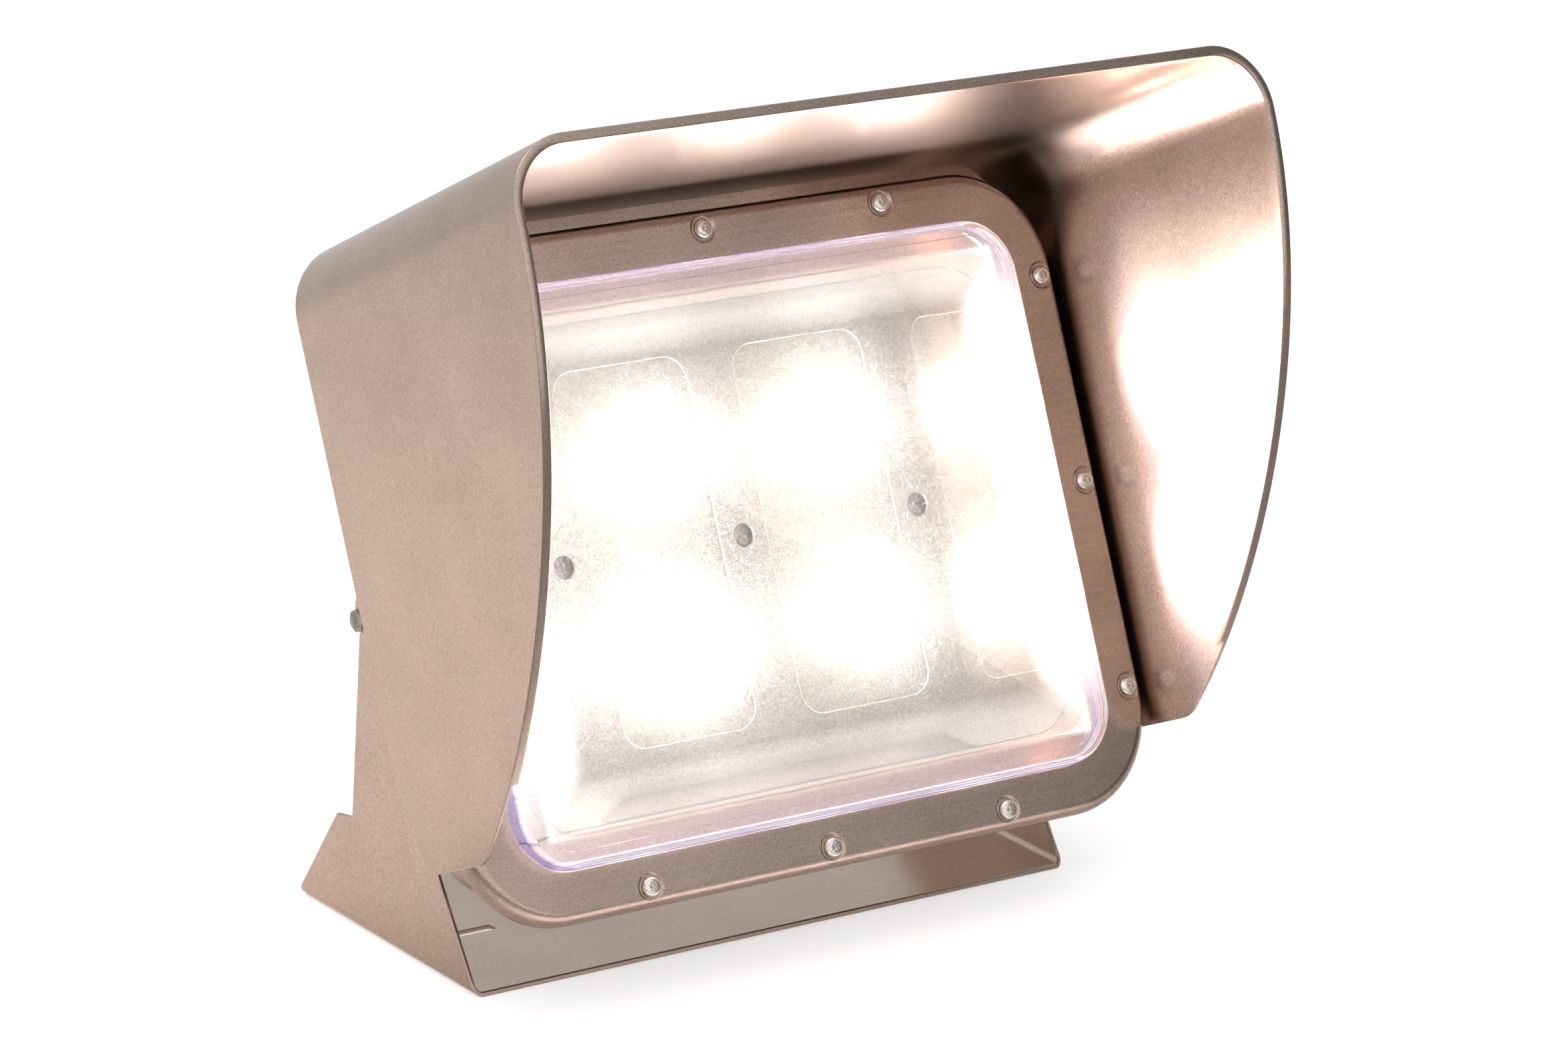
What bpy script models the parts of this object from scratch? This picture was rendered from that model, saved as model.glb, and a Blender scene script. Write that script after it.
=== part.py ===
"""LED wall pack light: a hooded lamp head that tilts on a folded wall bracket.

Units are metres and +Z is up. The bracket lies on its mounting face, whose centre
is the origin, and the lamp looks towards -Y and upwards.
"""
import bpy
import bmesh
from math import atan2, cos, hypot, pi, radians, sin, tan
from mathutils import Matrix, Vector

# Clearance between pieces that touch
GAP = 0.0003

# Bezel, pressed from sheet with a rolled edge; the head is laid out from its outline
BEZEL_WIDTH = 0.407
BEZEL_HEIGHT = 0.3186
BEZEL_CORNER = 0.052
BEZEL_SHEET = 0.002
BEZEL_ROLL = 0.007
BEZEL_SKIRT = 0.009
BEZEL_FACE_ACROSS = 0.029
BEZEL_FACE_UP = 0.0243
OPENING_WIDTH = BEZEL_WIDTH - 2 * BEZEL_FACE_ACROSS
OPENING_HEIGHT = BEZEL_HEIGHT - 2 * BEZEL_FACE_UP
OPENING_CORNER = 0.0285

# Bezel screws in dished seats, three along each side
SEAT_DIAMETER = 0.0135
SEAT_DEPTH = 0.0008
SCREW_DIAMETER = 0.005
SCREW_HEAD_DIAMETER = 0.0095
SCREW_HEAD_HEIGHT = 0.0027
SCREW_SOCKET_DIAMETER = 0.0042
SCREW_SOCKET_DEPTH = 0.0014
SCREW_LENGTH = 0.009
SCREW_FROM_EDGE = 0.0095
SCREW_FROM_CORNER = (0.0455, 0.0043)
SCREW_COLUMN = BEZEL_WIDTH / 2 - SCREW_FROM_EDGE
SCREW_ROW = BEZEL_HEIGHT / 2 - SCREW_FROM_EDGE
SCREW_PITCH_ACROSS = BEZEL_WIDTH / 2 - BEZEL_CORNER - SCREW_FROM_CORNER[0]
SCREW_PITCH_UP = BEZEL_HEIGHT / 2 - BEZEL_CORNER - SCREW_FROM_CORNER[1]

# A button head's shape, in parts of its diameter and of its height
BUTTON_CROWN = 0.31
BUTTON_SHOULDER = (0.45, 0.68)
BUTTON_EDGE = 0.2

# Housing sheet and the outlines of its three steps, each drawn in from the one before
HOUSING_SHEET = 0.002
DRAFT = 0.001
PRESSED_ROUNDING = 0.004
HOLLOW_ROUNDING = 0.003
FIRST_STEP_INSET = (0.0032, 0.0183)
FIRST_STEP_CORNER = 0.044
FIRST_STEP_SIZE = (BEZEL_WIDTH - 2 * FIRST_STEP_INSET[0], BEZEL_HEIGHT - 2 * FIRST_STEP_INSET[1])
SECOND_STEP_INSET = (0.0123, 0.020)
SECOND_STEP_CORNER = 0.034
SECOND_STEP_WIDTH = FIRST_STEP_SIZE[0] - 2 * SECOND_STEP_INSET[0]
SECOND_STEP_SIZE = (SECOND_STEP_WIDTH, FIRST_STEP_SIZE[1] - 2 * SECOND_STEP_INSET[1])
BOX_INSET = (0.038, 0.015)
BOX_CORNER = 0.020
BOX_SIZE = (SECOND_STEP_WIDTH - 2 * BOX_INSET[0], SECOND_STEP_SIZE[1] - 2 * BOX_INSET[1])
BOX_LEDGE = 0.0125

# Lens, moulded with a flange that the bezel clamps in a rebate of the housing
LENS_THICKNESS = 0.003
LENS_STAND = 0.0087
LENS_EDGE_ROUNDING = 0.0035
LENS_RIM = 0.015
LENS_RIDGE_DROP = 0.0012
LENS_DISH_WIDTH = 0.013
LENS_DISH_DROP = 0.0008
LENS_CLEARANCE = 0.001
GASKET_THICKNESS = 0.0021
GASKET_WIDTH = 0.0065
REBATE_INSET = 0.0132
REBATE_DEPTH = BEZEL_SHEET + LENS_THICKNESS + GASKET_THICKNESS + 3 * GAP
LENS_FLANGE_INSET = REBATE_INSET + LENS_CLEARANCE
LIP_INSET = LENS_FLANGE_INSET + GASKET_WIDTH + GAP
LIP_THICKNESS = 0.004
BORE_SPARE = 0.0014

# LED plate: its wings fold back and fill the second step's corners, and between the folds its
# lower and upper edges are rolled back; four windows
PLATE_DEPTH = 0.020
PLATE_SHEET = 0.0015
PLATE_FOLD_DEGREES = 12.0
PLATE_ROOM = (SECOND_STEP_SIZE[0] / 2 - HOUSING_SHEET - DRAFT - GAP,
              SECOND_STEP_SIZE[1] / 2 - HOUSING_SHEET - DRAFT - GAP)
PLATE_SHORT_ABOVE = 0.0077
PLATE_SHORT_BELOW = 0.0167
PLATE_TOP = PLATE_ROOM[1] - PLATE_SHORT_ABOVE
PLATE_BOTTOM = PLATE_SHORT_BELOW - PLATE_ROOM[1]
PLATE_ROLL = 0.0074
PLATE_ROLL_STEPS = 4
PLATE_ROLL_RUN_OUT = 0.016
WINDOW_APART = 0.0276
WINDOW_WIDTH = 0.077
WINDOW_CORNER = 0.012
WINDOW_FROM_TOP = 0.016
WINDOW_FROM_BOTTOM = 0.015
WINDOW_HEIGHT = PLATE_TOP - WINDOW_FROM_TOP - PLATE_BOTTOM - WINDOW_FROM_BOTTOM
WINDOW_LIFT = PLATE_TOP - WINDOW_FROM_TOP - WINDOW_HEIGHT / 2
WINDOW_PITCH = WINDOW_APART + WINDOW_WIDTH
FOLD_FROM_WINDOW = 0.0222
PLATE_FOLD = (WINDOW_PITCH + WINDOW_WIDTH) / 2 + FOLD_FROM_WINDOW
WING_LENGTH = (PLATE_ROOM[0] - PLATE_FOLD) / cos(radians(PLATE_FOLD_DEGREES))
WING_WINDOW_FROM_FOLD = 0.0109
WING_WINDOW_FROM_EDGE = 0.0034
WING_WINDOW_WIDTH = WING_LENGTH - WING_WINDOW_FROM_FOLD - WING_WINDOW_FROM_EDGE
WING_WINDOW_CENTRE = WING_WINDOW_FROM_FOLD + WING_WINDOW_WIDTH / 2
PLATE_HOLE_DIAMETER = 0.0115
PLATE_SCREW_DIAMETER = 0.003
PLATE_SCREW_HEAD_DIAMETER = 0.0062
PLATE_SCREW_HEAD_HEIGHT = 0.0019
PLATE_SCREW_LENGTH = 0.0062
PLATE_SCREW_FROM_EDGE = 0.0062
PLATE_SCREW_FROM_FOLD = 0.0318
PLATE_SCREW_FROM_WING_END = 0.0113

# Boards and emitters in the windows, and the heat spreader behind them
BOARD_MARGIN = 0.0015
BOARD_THICKNESS = 0.0016
EMITTER_FROM_WINDOW_END = 0.043
EMITTER_SPREAD = WINDOW_HEIGHT / 2 - EMITTER_FROM_WINDOW_END
EMITTER_DIAMETER = 0.034
EMITTER_BASE = 0.0022
EMITTER_DOME_RADIUS = 0.0125
EMITTER_DOME_HEIGHT = 0.009
SPREADER_THICKNESS = 0.003
SPREADER_OFFSET = PLATE_SHEET + BOARD_THICKNESS + 2 * GAP
SPREADER_CLEARANCE = 0.0017
STANDOFF_DIAMETER = 0.010
STANDOFF_FROM_TOP = 0.030
STANDOFF_FROM_SIDE = 0.017

# Driver, terminal block, gland and vent in the housing's rear box
DRIVER_SIZE = (0.165, 0.064, 0.028)
DRIVER_RAISE = 0.030
DRIVER_BEVEL = 0.002
TERMINAL_SIZE = (0.060, 0.022, 0.018)
TERMINAL_DROP = 0.045
TERMINAL_BEVEL = 0.0012
THREAD_INSIDE = 0.006
GLAND_ACROSS = 0.085
GLAND_THREAD_DIAMETER = 0.020
GLAND_HEX_ACROSS_FLATS = 0.025
GLAND_HEX_HEIGHT = 0.008
GLAND_ROOM = 0.0035
GLAND_NUT_DIAMETER = 0.024
GLAND_NUT_HEIGHT = 0.016
GLAND_NUT_GRIP = 0.0096
GLAND_NUT_MOUTH_DIAMETER = 0.0158
GLAND_CABLE_DIAMETER = 0.009
VENT_DIAMETER = 0.016
VENT_THREAD_DIAMETER = 0.012
VENT_HEIGHT = 0.005
VENT_CHAMFER = 0.002

# Housing depths, from what each step has to hold, measured back from the bezel's face
WING_DROP = WING_LENGTH * sin(radians(PLATE_FOLD_DEGREES))
SPREADER_DROP = (SPREADER_OFFSET + SPREADER_THICKNESS) * cos(radians(PLATE_FOLD_DEGREES))
SECOND_STEP_RISE = 0.0096
SECOND_STEP_DEPTH = PLATE_DEPTH + WING_DROP + SPREADER_DROP + SPREADER_CLEARANCE + HOUSING_SHEET
FIRST_STEP_DEPTH = SECOND_STEP_DEPTH - SECOND_STEP_RISE
BOX_DEPTH = SECOND_STEP_DEPTH + GLAND_HEX_ACROSS_FLATS + GLAND_ROOM
FRAME_DEPTH = REBATE_DEPTH + LIP_THICKNESS

# Rear cover and its screws
COVER_SHEET = 0.002
COVER_GASKET_THICKNESS = 0.0015
COVER_SCREW_DIAMETER = 0.004
COVER_SCREW_HEAD_DIAMETER = 0.0075
COVER_SCREW_HEAD_HEIGHT = 0.0022
COVER_SCREW_LENGTH = 0.009

# Hood: sides that flare forwards, a top that rises forwards, rounded top corners
HOOD_SHEET = 0.002
HOOD_SIDE_ROOM = 0.0055
HOOD_TOP_ROOM = 0.0134
HOOD_SHORT_OF_BEZEL = 0.0353
HOOD_HALF_WIDTH = BEZEL_WIDTH / 2 + HOOD_SIDE_ROOM
HOOD_TOP = BEZEL_HEIGHT / 2 + HOOD_TOP_ROOM
HOOD_BOTTOM = BEZEL_HEIGHT / 2 - HOOD_SHORT_OF_BEZEL
HOOD_FLARE = 0.0455
HOOD_LEAN = 0.0084
HOOD_RISE = 0.0577
HOOD_BEND = 0.0325
HOOD_REACH = 0.1702
HOOD_REAR = FIRST_STEP_DEPTH + HOOD_SHEET + 2 * GAP
HOOD_NOSE_PULL = 0.1015
HOOD_CHIN_AHEAD = 0.025
HOOD_CHIN_DEGREES = 52.0
HOOD_CHIN_PULL = 0.096
HOOD_CHIN_RADIUS = 0.018
HOOD_CHIN_STEPS = 4
HOOD_EDGE_STEPS = 12
HEM_DEPTH = 0.008
HEM_THICKNESS = 0.005
HEM_ABOVE_BOTTOM = 0.032
HOOD_FLANGE_SHORT = 0.012
HOOD_FLANGE_HALF_HEIGHT = HOOD_BOTTOM - HOOD_FLANGE_SHORT
HOOD_SCREW_INSET = 0.010
HOOD_SCREW_FROM_END = 0.032
HOOD_SCREW_HEIGHT = HOOD_FLANGE_HALF_HEIGHT - HOOD_SCREW_FROM_END

# Head: its lean back from upright, and its front face ahead of the pivots
HEAD_TILT_DEGREES = 25.5
PIVOT_BEHIND_STEP = 0.0385
FACE_AHEAD_OF_PIVOT = SECOND_STEP_DEPTH + PIVOT_BEHIND_STEP

# Mounting bracket, folded from one sheet; its arms stand behind the housing's second step
ARM_INSET = 0.012
BRACKET_WIDTH = SECOND_STEP_SIZE[0] - 2 * ARM_INSET
BRACKET_DEPTH = 0.150
BRACKET_SHEET = 0.002
BRACKET_BEND = 0.005
ARM_EYE_RADIUS = 0.009
ARM_EDGE_BEHIND_PIVOT = 0.005
ARM_KNEE = (0.036, 0.050)
ARM_KNEE_RADIUS = 0.120
ARM_STEP = (0.013, 0.054)
ARM_STEP_DROP = 0.0025
ARM_STEP_RADIUS = 0.002
ARM_CORNER_RADIUS = 0.008
SLOT_LENGTH = 0.040
SLOT_WIDTH = 0.0055
SLOT_FROM_SIDE = 0.036
SLOT_ROWS = (-0.0083, 0.052)

# Pivots between the bracket and the head
PIVOT_BEHIND_CENTRE = 0.0282
PIVOT_HEIGHT = 0.1545
PIVOT_BOLT_DIAMETER = 0.006
PIVOT_HEAD_ACROSS_FLATS = 0.010
PIVOT_HEAD_HEIGHT = 0.004
PIVOT_WASHER_DIAMETER = 0.014
PIVOT_WASHER_THICKNESS = 0.0012
LOCK_NUT_HEIGHT = 0.006
BOLT_BEYOND_NUT = 0.0015
EAR_SHEET = 0.003
EAR_HEIGHT = 0.044
EAR_EYE_RADIUS = 0.012
EAR_SHOULDER = 0.006
EAR_SHOULDER_RADIUS = 0.004
EAR_OUTSIDE = BRACKET_WIDTH / 2 - BRACKET_SHEET - GAP
EAR_FOOT = EAR_OUTSIDE - BOX_SIZE[0] / 2 - HOLLOW_ROUNDING

# Fineness of the curves, and the distance under which two points are one
CORNER_STEPS = 6
BEND_STEPS = 6
TURN_STEPS = 12
SEAT_STEPS = 16
BORE_STEPS = 8
SAME_POINT = 0.000001

COLLECTION_NAME = "LED wall pack light"


def clear_scene():
    for thing in list(bpy.data.objects):
        bpy.data.objects.remove(thing, do_unlink=True)


def new_collection(name):
    collection = bpy.data.collections.new(name)
    bpy.context.scene.collection.children.link(collection)
    return collection


def finish(name, colour, roughness, metallic=0.0, transmission=0.0):
    """A plain material for one kind of piece."""
    material = bpy.data.materials.new(name)
    material.use_nodes = True
    shader = material.node_tree.nodes["Principled BSDF"]
    shader.inputs["Base Color"].default_value = (*colour, 1.0)
    shader.inputs["Roughness"].default_value = roughness
    shader.inputs["Metallic"].default_value = metallic
    shader.inputs["Transmission Weight"].default_value = transmission
    return material


def add_piece(name, mesh, material, parent=None, place=Matrix.Identity(4), smooth=30.0):
    """An object of the model, shaded smooth where its faces meet gently."""
    piece = bpy.data.objects.new(name, mesh)
    pieces.objects.link(piece)
    piece.data.materials.clear()
    piece.data.materials.append(material)
    piece.parent = parent
    piece.matrix_local = place
    mesh.shade_smooth()
    mesh.set_sharp_from_angle(angle=radians(smooth))
    return piece


def add_tool(name, mesh, parent=None, place=Matrix.Identity(4)):
    """A hidden shape that cuts or joins a piece."""
    tool = bpy.data.objects.new(name, mesh)
    cutters.objects.link(tool)
    tool.parent = parent
    tool.matrix_local = place
    tool.hide_render = True
    tool.display_type = "WIRE"
    return tool


def combine(piece, tool, operation="DIFFERENCE"):
    boolean = piece.modifiers.new(tool.name, "BOOLEAN")
    boolean.operation = operation
    boolean.solver = "EXACT"
    boolean.object = tool


def new_mesh(name, shape):
    """Turn a bmesh into a mesh with its faces pointing out."""
    bmesh.ops.remove_doubles(shape, verts=shape.verts, dist=SAME_POINT)
    bmesh.ops.recalc_face_normals(shape, faces=shape.faces)
    if shape.calc_volume(signed=True) < 0:
        bmesh.ops.reverse_faces(shape, faces=shape.faces)
    mesh = bpy.data.meshes.new(name)
    shape.to_mesh(mesh)
    shape.free()
    return mesh


def rounded_outline(corners, steps=CORNER_STEPS):
    """Outline through corners given as (x, y, radius), each rounded by an arc."""
    points = []
    for index, (x, y, radius) in enumerate(corners):
        corner = Vector((x, y))
        if radius == 0:
            points.append(corner)
            continue
        before = (Vector(corners[index - 1][:2]) - corner).normalized()
        after = (Vector(corners[(index + 1) % len(corners)][:2]) - corner).normalized()
        half_angle = before.angle(after) / 2
        centre = corner + (before + after).normalized() * radius / sin(half_angle)
        reach = radius / tan(half_angle)
        start = corner + before * reach - centre
        end = corner + after * reach - centre
        first = atan2(start.y, start.x)
        sweep = (atan2(end.y, end.x) - first + pi) % (2 * pi) - pi
        for step in range(steps + 1):
            angle = first + sweep * step / steps
            points.append(centre + radius * Vector((cos(angle), sin(angle))))
    followed = zip(points, points[1:] + points[:1])
    return [point for point, following in followed if (following - point).length > SAME_POINT]


def rectangle(width, height, radius, centre=(0.0, 0.0)):
    """Corners of a rounded rectangle for rounded_outline."""
    x, y = centre
    corners = [(width / 2, height / 2), (-width / 2, height / 2)]
    corners += [(-width / 2, -height / 2), (width / 2, -height / 2)]
    return [(x + a, y + b, radius) for a, b in corners]


def circle(radius, centre=(0.0, 0.0), steps=TURN_STEPS):
    """Points of a circle."""
    angles = [2 * pi * step / steps for step in range(steps)]
    return [Vector((centre[0] + radius * cos(a), centre[1] + radius * sin(a))) for a in angles]


def slab(name, outlines, thickness, place=Matrix.Identity(4)):
    """Mesh of a flat plate with an outline and holes, from a filled 2D curve."""
    curve = bpy.data.curves.new(name, "CURVE")
    curve.dimensions = "2D"
    curve.fill_mode = "BOTH"
    curve.extrude = thickness / 2
    for outline in outlines:
        spline = curve.splines.new("POLY")
        spline.points.add(len(outline) - 1)
        for point, (x, y) in zip(spline.points, outline):
            point.co = (x, y, 0.0, 1.0)
        spline.use_cyclic_u = True
    guide = bpy.data.objects.new(name, curve)
    cutters.objects.link(guide)
    bpy.context.view_layer.update()
    evaluated = guide.evaluated_get(bpy.context.evaluated_depsgraph_get())
    flat = bpy.data.meshes.new_from_object(evaluated)
    shape = bmesh.new()
    shape.from_mesh(flat)
    shape.transform(place)
    bpy.data.objects.remove(guide, do_unlink=True)
    bpy.data.meshes.remove(flat)
    return new_mesh(name, shape)


def loft(name, rings, closed=False):
    """Join rings of equal length, capped at both ends or closed on themselves."""
    shape = bmesh.new()
    rows = [[shape.verts.new(point) for point in ring] for ring in rings]
    pairs = list(zip(rows, rows[1:]))
    if closed:
        pairs.append((rows[-1], rows[0]))
    else:
        shape.faces.new(rows[0])
        shape.faces.new(rows[-1])
    for low, high in pairs:
        for index in range(len(low)):
            following = (index + 1) % len(low)
            shape.faces.new((low[index], low[following], high[following], high[index]))
    return new_mesh(name, shape)


def soften(sections, steps=3):
    """Round the corners of a closed run of (width, height, corner, depth, rounding)."""
    points = []
    for index, section in enumerate(sections):
        corner = Vector(section[:4])
        rounding = section[4]
        if rounding == 0:
            points.append(corner)
            continue
        start = along(corner, Vector(sections[index - 1][:4]), rounding)
        end = along(corner, Vector(sections[(index + 1) % len(sections)][:4]), rounding)
        centre = start + end - corner
        for step in range(steps + 1):
            angle = pi / 2 * step / steps
            points.append(centre + (start - centre) * cos(angle) + (end - centre) * sin(angle))
    return points


def along(start, end, distance):
    """The point at a distance from start towards end, measured in half width and depth."""
    step = end - start
    return start + step * distance / hypot(step[0] / 2, step[3])


def frame_loft(name, sections, closed=True):
    """Loft through rounded rectangles given as (width, height, corner, depth)."""
    rings = []
    for width, height, corner, depth in sections:
        outline = rounded_outline(rectangle(width, height, corner))
        rings.append([(x, y, depth) for x, y in outline])
    return loft(name, rings, closed)


def turned(name, profile, material, parent=None, place=Matrix.Identity(4), steps=TURN_STEPS):
    """A piece turned about its Z axis from (radius, height) points, top to bottom."""
    mesh = bpy.data.meshes.new(name)
    edges = [(index, index + 1) for index in range(len(profile) - 1)]
    mesh.from_pydata([(radius, 0.0, height) for radius, height in profile], edges, [])
    piece = add_piece(name, mesh, material, parent, place)
    screw = piece.modifiers.new("Turn", "SCREW")
    screw.axis = "Z"
    screw.angle = 2 * pi
    screw.steps = steps
    screw.render_steps = steps
    screw.use_merge_vertices = True
    screw.merge_threshold = 0.00001
    screw.use_smooth_shade = True
    return piece


def quarter_turn(inner, outer, end, start, steps=4):
    """Quarter of an ellipse as (radius, height), from the inner radius out to the outer one."""
    angles = [pi / 2 * step / steps for step in range(steps + 1)]
    return [(inner + (outer - inner) * sin(a), start + (end - start) * cos(a)) for a in angles]


def pegs(name, centres, levels, steps=TURN_STEPS):
    """Cutters: stepped round pegs along Z, with levels of (radius, height) from the top."""
    shape = bmesh.new()
    for x, y in centres:
        rows = []
        for radius, height in levels:
            ring = circle(radius, (x, y), steps)
            rows.append([shape.verts.new((p.x, p.y, height)) for p in ring])
        shape.faces.new(rows[0])
        shape.faces.new(list(reversed(rows[-1])))
        for low, high in zip(rows, rows[1:]):
            for index in range(steps):
                following = (index + 1) % steps
                shape.faces.new((low[index], high[index], high[following], low[following]))
    return new_mesh(name, shape)


def block(name, size, material, parent, place, bevel):
    """A box about its centre with rounded edges."""
    shape = bmesh.new()
    bmesh.ops.create_cube(shape, size=1.0, matrix=Matrix.Diagonal((*size, 1.0)))
    piece = add_piece(name, new_mesh(name, shape), material, parent, place)
    edge = piece.modifiers.new("Rounded edges", "BEVEL")
    edge.width = bevel
    edge.segments = 2
    return piece


def hexagon(across_flats):
    """Points of a hexagon."""
    return circle(across_flats / (2 * cos(pi / 6)), steps=6)


def button_screw(name, head, height, shank, length, material, place, socket=None):
    """A button-head screw along Z, with the underside of its head at zero."""
    profile = [(0.0, height)]
    if socket:
        width, depth = socket
        profile = [(0.0, height - depth), (width / 2, height - depth), (width / 2, height)]
    profile += [(head * BUTTON_CROWN, height)]
    profile += [(head * BUTTON_SHOULDER[0], height * BUTTON_SHOULDER[1]), (head / 2, height * BUTTON_EDGE)]
    profile += [(head / 2, 0.0), (shank / 2, 0.0), (shank / 2, -length), (0.0, -length)]
    return turned(name, profile, material, head_axis, place)


# Places in the head's frame: x across, y up along the bezel, z out of its front face
SIDE_VIEW = Matrix(((0, 0, 1, 0), (1, 0, 0, 0), (0, 1, 0, 0), (0, 0, 0, 1)))
PLAN_VIEW = Matrix.Rotation(pi / 2, 4, "X")
HEAD_SIDE_VIEW = Matrix.Rotation(pi / 2, 4, "Y")


def in_head(x=0.0, y=0.0, z=0.0):
    """A place in the head, with z measured out from the bezel's front face."""
    return Matrix.Translation((x, y, FACE_AHEAD_OF_PIVOT + z))


def inset(width, height, corner, amount, depth, rounding=0.0):
    """A section drawn in from a rounded rectangle by the same amount all round."""
    return (width - 2 * amount, height - 2 * amount, corner - amount, depth, rounding)


def bezel_section(amount, depth, rounding=0.0):
    return inset(BEZEL_WIDTH, BEZEL_HEIGHT, BEZEL_CORNER, amount, depth, rounding)


# The housing fits inside the bezel's skirt
def frame_section(amount, depth, rounding=0.0):
    return bezel_section(BEZEL_SHEET + GAP + amount, depth, rounding)


def bezel_screw_places():
    """Name and place of each bezel screw: rows above and below, columns at the sides."""
    places = {}
    for index in (-1, 0, 1):
        places[f"top_{index + 2}"] = (index * SCREW_PITCH_ACROSS, SCREW_ROW)
        places[f"bottom_{index + 2}"] = (index * SCREW_PITCH_ACROSS, -SCREW_ROW)
        places[f"left_{index + 2}"] = (-SCREW_COLUMN, index * SCREW_PITCH_UP)
        places[f"right_{index + 2}"] = (SCREW_COLUMN, index * SCREW_PITCH_UP)
    return places


# The bracket: a channel bent from sheet, trimmed to the arms' outline
def arm_outline():
    """Side view of an arm as (y, z), from the front lip over the eye to the rear foot."""
    front = -BRACKET_DEPTH / 2
    below = -BRACKET_SHEET
    knee = Vector((front + ARM_KNEE[0], ARM_KNEE[1]))
    slope = ARM_KNEE[0] / ARM_KNEE[1]
    eye = Vector((PIVOT_BEHIND_CENTRE, PIVOT_HEIGHT))
    to_eye = eye - knee
    tangent = atan2(to_eye.y, to_eye.x) + pi / 2 + atan2(ARM_EYE_RADIUS, to_eye.length)
    last = -atan2((ARM_EYE_RADIUS**2 - ARM_EDGE_BEHIND_PIVOT**2) ** 0.5, ARM_EDGE_BEHIND_PIVOT)
    start = eye + ARM_EYE_RADIUS * Vector((cos(tangent), sin(tangent)))
    edge = PIVOT_BEHIND_CENTRE + ARM_EDGE_BEHIND_PIVOT
    step_back, step_height = ARM_STEP
    corners = [(front + slope * below, below, 0.0), (knee.x, knee.y, ARM_KNEE_RADIUS)]
    corners += [(start.x, start.y, 0.0), (front, PIVOT_HEIGHT, 0.0)]
    points = rounded_outline(corners)[:-1]
    for step in range(1, 2 * BEND_STEPS + 1):
        angle = tangent + (last - tangent) * step / (2 * BEND_STEPS)
        points.append(eye + ARM_EYE_RADIUS * Vector((cos(angle), sin(angle))))
    foot = [(edge, PIVOT_HEIGHT, 0.0), (edge, step_height, ARM_STEP_RADIUS)]
    foot += [(edge + step_back, step_height - ARM_STEP_DROP, ARM_STEP_RADIUS)]
    foot += [(BRACKET_DEPTH / 2, 2 * BRACKET_SHEET, ARM_CORNER_RADIUS), (BRACKET_DEPTH / 2, below, 0.0)]
    return points + rounded_outline(foot, BEND_STEPS // 2)[1:]


def make_bracket():
    half = BRACKET_WIDTH / 2
    top = PIVOT_HEIGHT + 2 * ARM_EYE_RADIUS
    inner = half - BRACKET_SHEET
    inner_bend = BRACKET_BEND - BRACKET_SHEET
    corners = [(-half, top, 0.0), (-half, 0.0, BRACKET_BEND)]
    corners += [(half, 0.0, BRACKET_BEND), (half, top, 0.0)]
    corners += [(inner, top, 0.0), (inner, BRACKET_SHEET, inner_bend)]
    corners += [(-inner, BRACKET_SHEET, inner_bend), (-inner, top, 0.0)]
    section = rounded_outline(corners, BEND_STEPS)
    channel = slab("bracket channel", [section], 2 * BRACKET_DEPTH, PLAN_VIEW)
    bracket = add_piece("mounting_bracket", channel, satin_steel)
    arms = slab("arm outline", [arm_outline()], 2 * BRACKET_WIDTH, SIDE_VIEW)
    combine(bracket, add_tool("arm outline", arms), "INTERSECT")
    across = half - SLOT_FROM_SIDE
    for row, depth in enumerate(SLOT_ROWS):
        for side in (-1, 1):
            outline = rectangle(SLOT_LENGTH, SLOT_WIDTH, SLOT_WIDTH / 2, (side * across, depth))
            slot = slab("mounting slot", [rounded_outline(outline)], 4 * BRACKET_SHEET)
            combine(bracket, add_tool(f"mounting slot {row} {side}", slot))
    bore = pegs("pivot bore", [(0.0, 0.0)], pivot_levels(BRACKET_WIDTH))
    pivot = Matrix.Translation((0.0, PIVOT_BEHIND_CENTRE, PIVOT_HEIGHT))
    combine(bracket, add_tool("pivot bore", bore, None, pivot @ Matrix.Rotation(pi / 2, 4, "Y")))


def pivot_levels(reach):
    """Levels of a peg that clears a pivot bolt."""
    radius = PIVOT_BOLT_DIAMETER / 2 + GAP
    return [(radius, reach), (radius, -reach)]


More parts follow.
